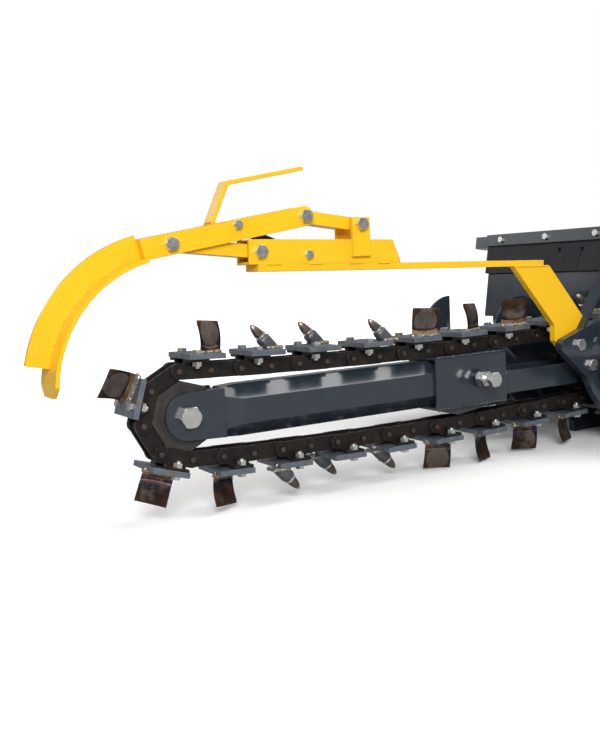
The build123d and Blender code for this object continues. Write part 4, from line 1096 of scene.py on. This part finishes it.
CHANNEL_SIDE = 0.0203
ARM_START = 0.118        # where the fall of the stitches is counted from
ARM_SLOPE = 0.0314       # fall of the stitches along the arm
LEG_TOP = ((0.614, 0.1893), (0.694, 0.1865))
LEG_SIDES = (-0.0620, -0.0500)
SLEEVE_ENDS = (0.456, 0.607)
SLEEVE_SEAMS = (0.0424, -0.0464)
SLEEVE_SIDE = 0.0364
CHEEK_PLACE = 0.6115
CHEEK_UPRIGHT = ((0.0360, -0.034), (0.0360, 0.004))
CHEEK_LEVEL = ((0.0250, 0.006), (0.0350, 0.006))


def rib_stitches():
    """Short welds on both sides of the shoe's rib."""
    centre = from_nose(*RIB_CENTRE)
    spots = []
    for k in range(RIB_STITCHES):
        for side in (-1, 1):
            for part in range(3):
                ends = [math.radians(RIB_FIRST + RIB_STEP * k + RIB_PART * step)
                        for step in (part, part + 1)]
                spots.append([centre + Vector((RIB_RADIUS * math.cos(t), side * RIB_SIDE,
                                               RIB_RADIUS * math.sin(t))) for t in ends])
    return spots


def crumber_welds():
    """Stitches on the rib and the foot of the lift handle."""
    beads = rib_stitches()
    for x, z in HANDLE_FEET:
        beads.append((from_nose(x, -HANDLE_SIDE, z), from_nose(x, HANDLE_SIDE, z)))
    return beads


def support_welds():
    """Posts on the channel, channel on the arm, and the leg under the arm."""
    beads = []
    for side in (-1, 1):
        corners = [from_nose(x, side * POST_SIDE, z) for x, z in POST_OUTLINE]
        beads += list(zip(corners, corners[1:]))
        for x in CHANNEL_STITCHES:
            drop = (x - ARM_START) * ARM_SLOPE
            beads.append([from_nose(x + along, side * CHANNEL_SIDE, z - drop)
                          for along, z in CHANNEL_STITCH])
    for y in LEG_SIDES:
        beads.append([from_nose(x, y, z) for x, z in LEG_TOP])
    return beads


def sleeve_welds():
    """Long corner welds on the boom sleeve, and the sleeve on its cheeks."""
    beads = []
    for side in (-1, 1):
        for z in SLEEVE_SEAMS:
            beads.append([from_nose(x, side * SLEEVE_SIDE, z) for x in SLEEVE_ENDS])
        for run in (CHEEK_UPRIGHT, CHEEK_LEVEL):
            beads.append([from_nose(CHEEK_PLACE, side * y, z) for y, z in run])
    return beads


class TRENCHER_OT_welds(bpy.types.Operator):
    """Painted weld beads along the joints of the crumber, its supports and the sleeve"""
    bl_idname = "trencher.welds"
    bl_label = "Lay the welds"

    def execute(self, context):
        rng = random.Random(21)
        runs = (("crumber_welds", crumber_welds(), 0.0016, "crumber", "yellow_paint"),
                ("support_welds", support_welds(), 0.0016, "frame", "yellow_paint"),
                ("sleeve_welds", sleeve_welds(), 0.0026, "frame", "dark_paint"))
        for name, beads, radius, body, finish in runs:
            bm = bmesh.new()
            for start, end in beads:
                add_bead(bm, start, end, radius, rng)
            finished(name, bm, body, [finish])
        return {"FINISHED"}


# ---------- panel and registration ----------
class TRENCHER_PT_panel(bpy.types.Panel):
    """Lists the steps that dress the trencher"""
    bl_label = "Trencher"
    bl_idname = "TRENCHER_PT_panel"
    bl_space_type = "VIEW_3D"
    bl_region_type = "UI"
    bl_category = "Trencher"

    def draw(self, context):
        for step in ("stage", "finishes", "knives", "teeth", "spring", "flap", "welds"):
            self.layout.operator("trencher." + step)


CLASSES = (StageSettings, ChainSettings, KnifeSettings, ToothSettings, SpringSettings,
           FlapSettings, FinishSettings, TrencherSettings, TRENCHER_OT_stage,
           TRENCHER_OT_finishes, TRENCHER_OT_knives, TRENCHER_OT_teeth, TRENCHER_OT_spring,
           TRENCHER_OT_flap, TRENCHER_OT_welds, TRENCHER_PT_panel)


def register():
    for item in CLASSES:
        bpy.utils.register_class(item)
    bpy.types.Scene.trencher = bpy.props.PointerProperty(type=TrencherSettings)


def unregister():
    del bpy.types.Scene.trencher
    for item in reversed(CLASSES):
        bpy.utils.unregister_class(item)


def main():
    register()
    bpy.ops.trencher.stage()
    bpy.ops.trencher.finishes()
    bpy.ops.trencher.knives()
    bpy.ops.trencher.teeth()
    bpy.ops.trencher.spring()
    bpy.ops.trencher.flap()
    bpy.ops.trencher.welds()


if __name__ == "__main__":
    main()
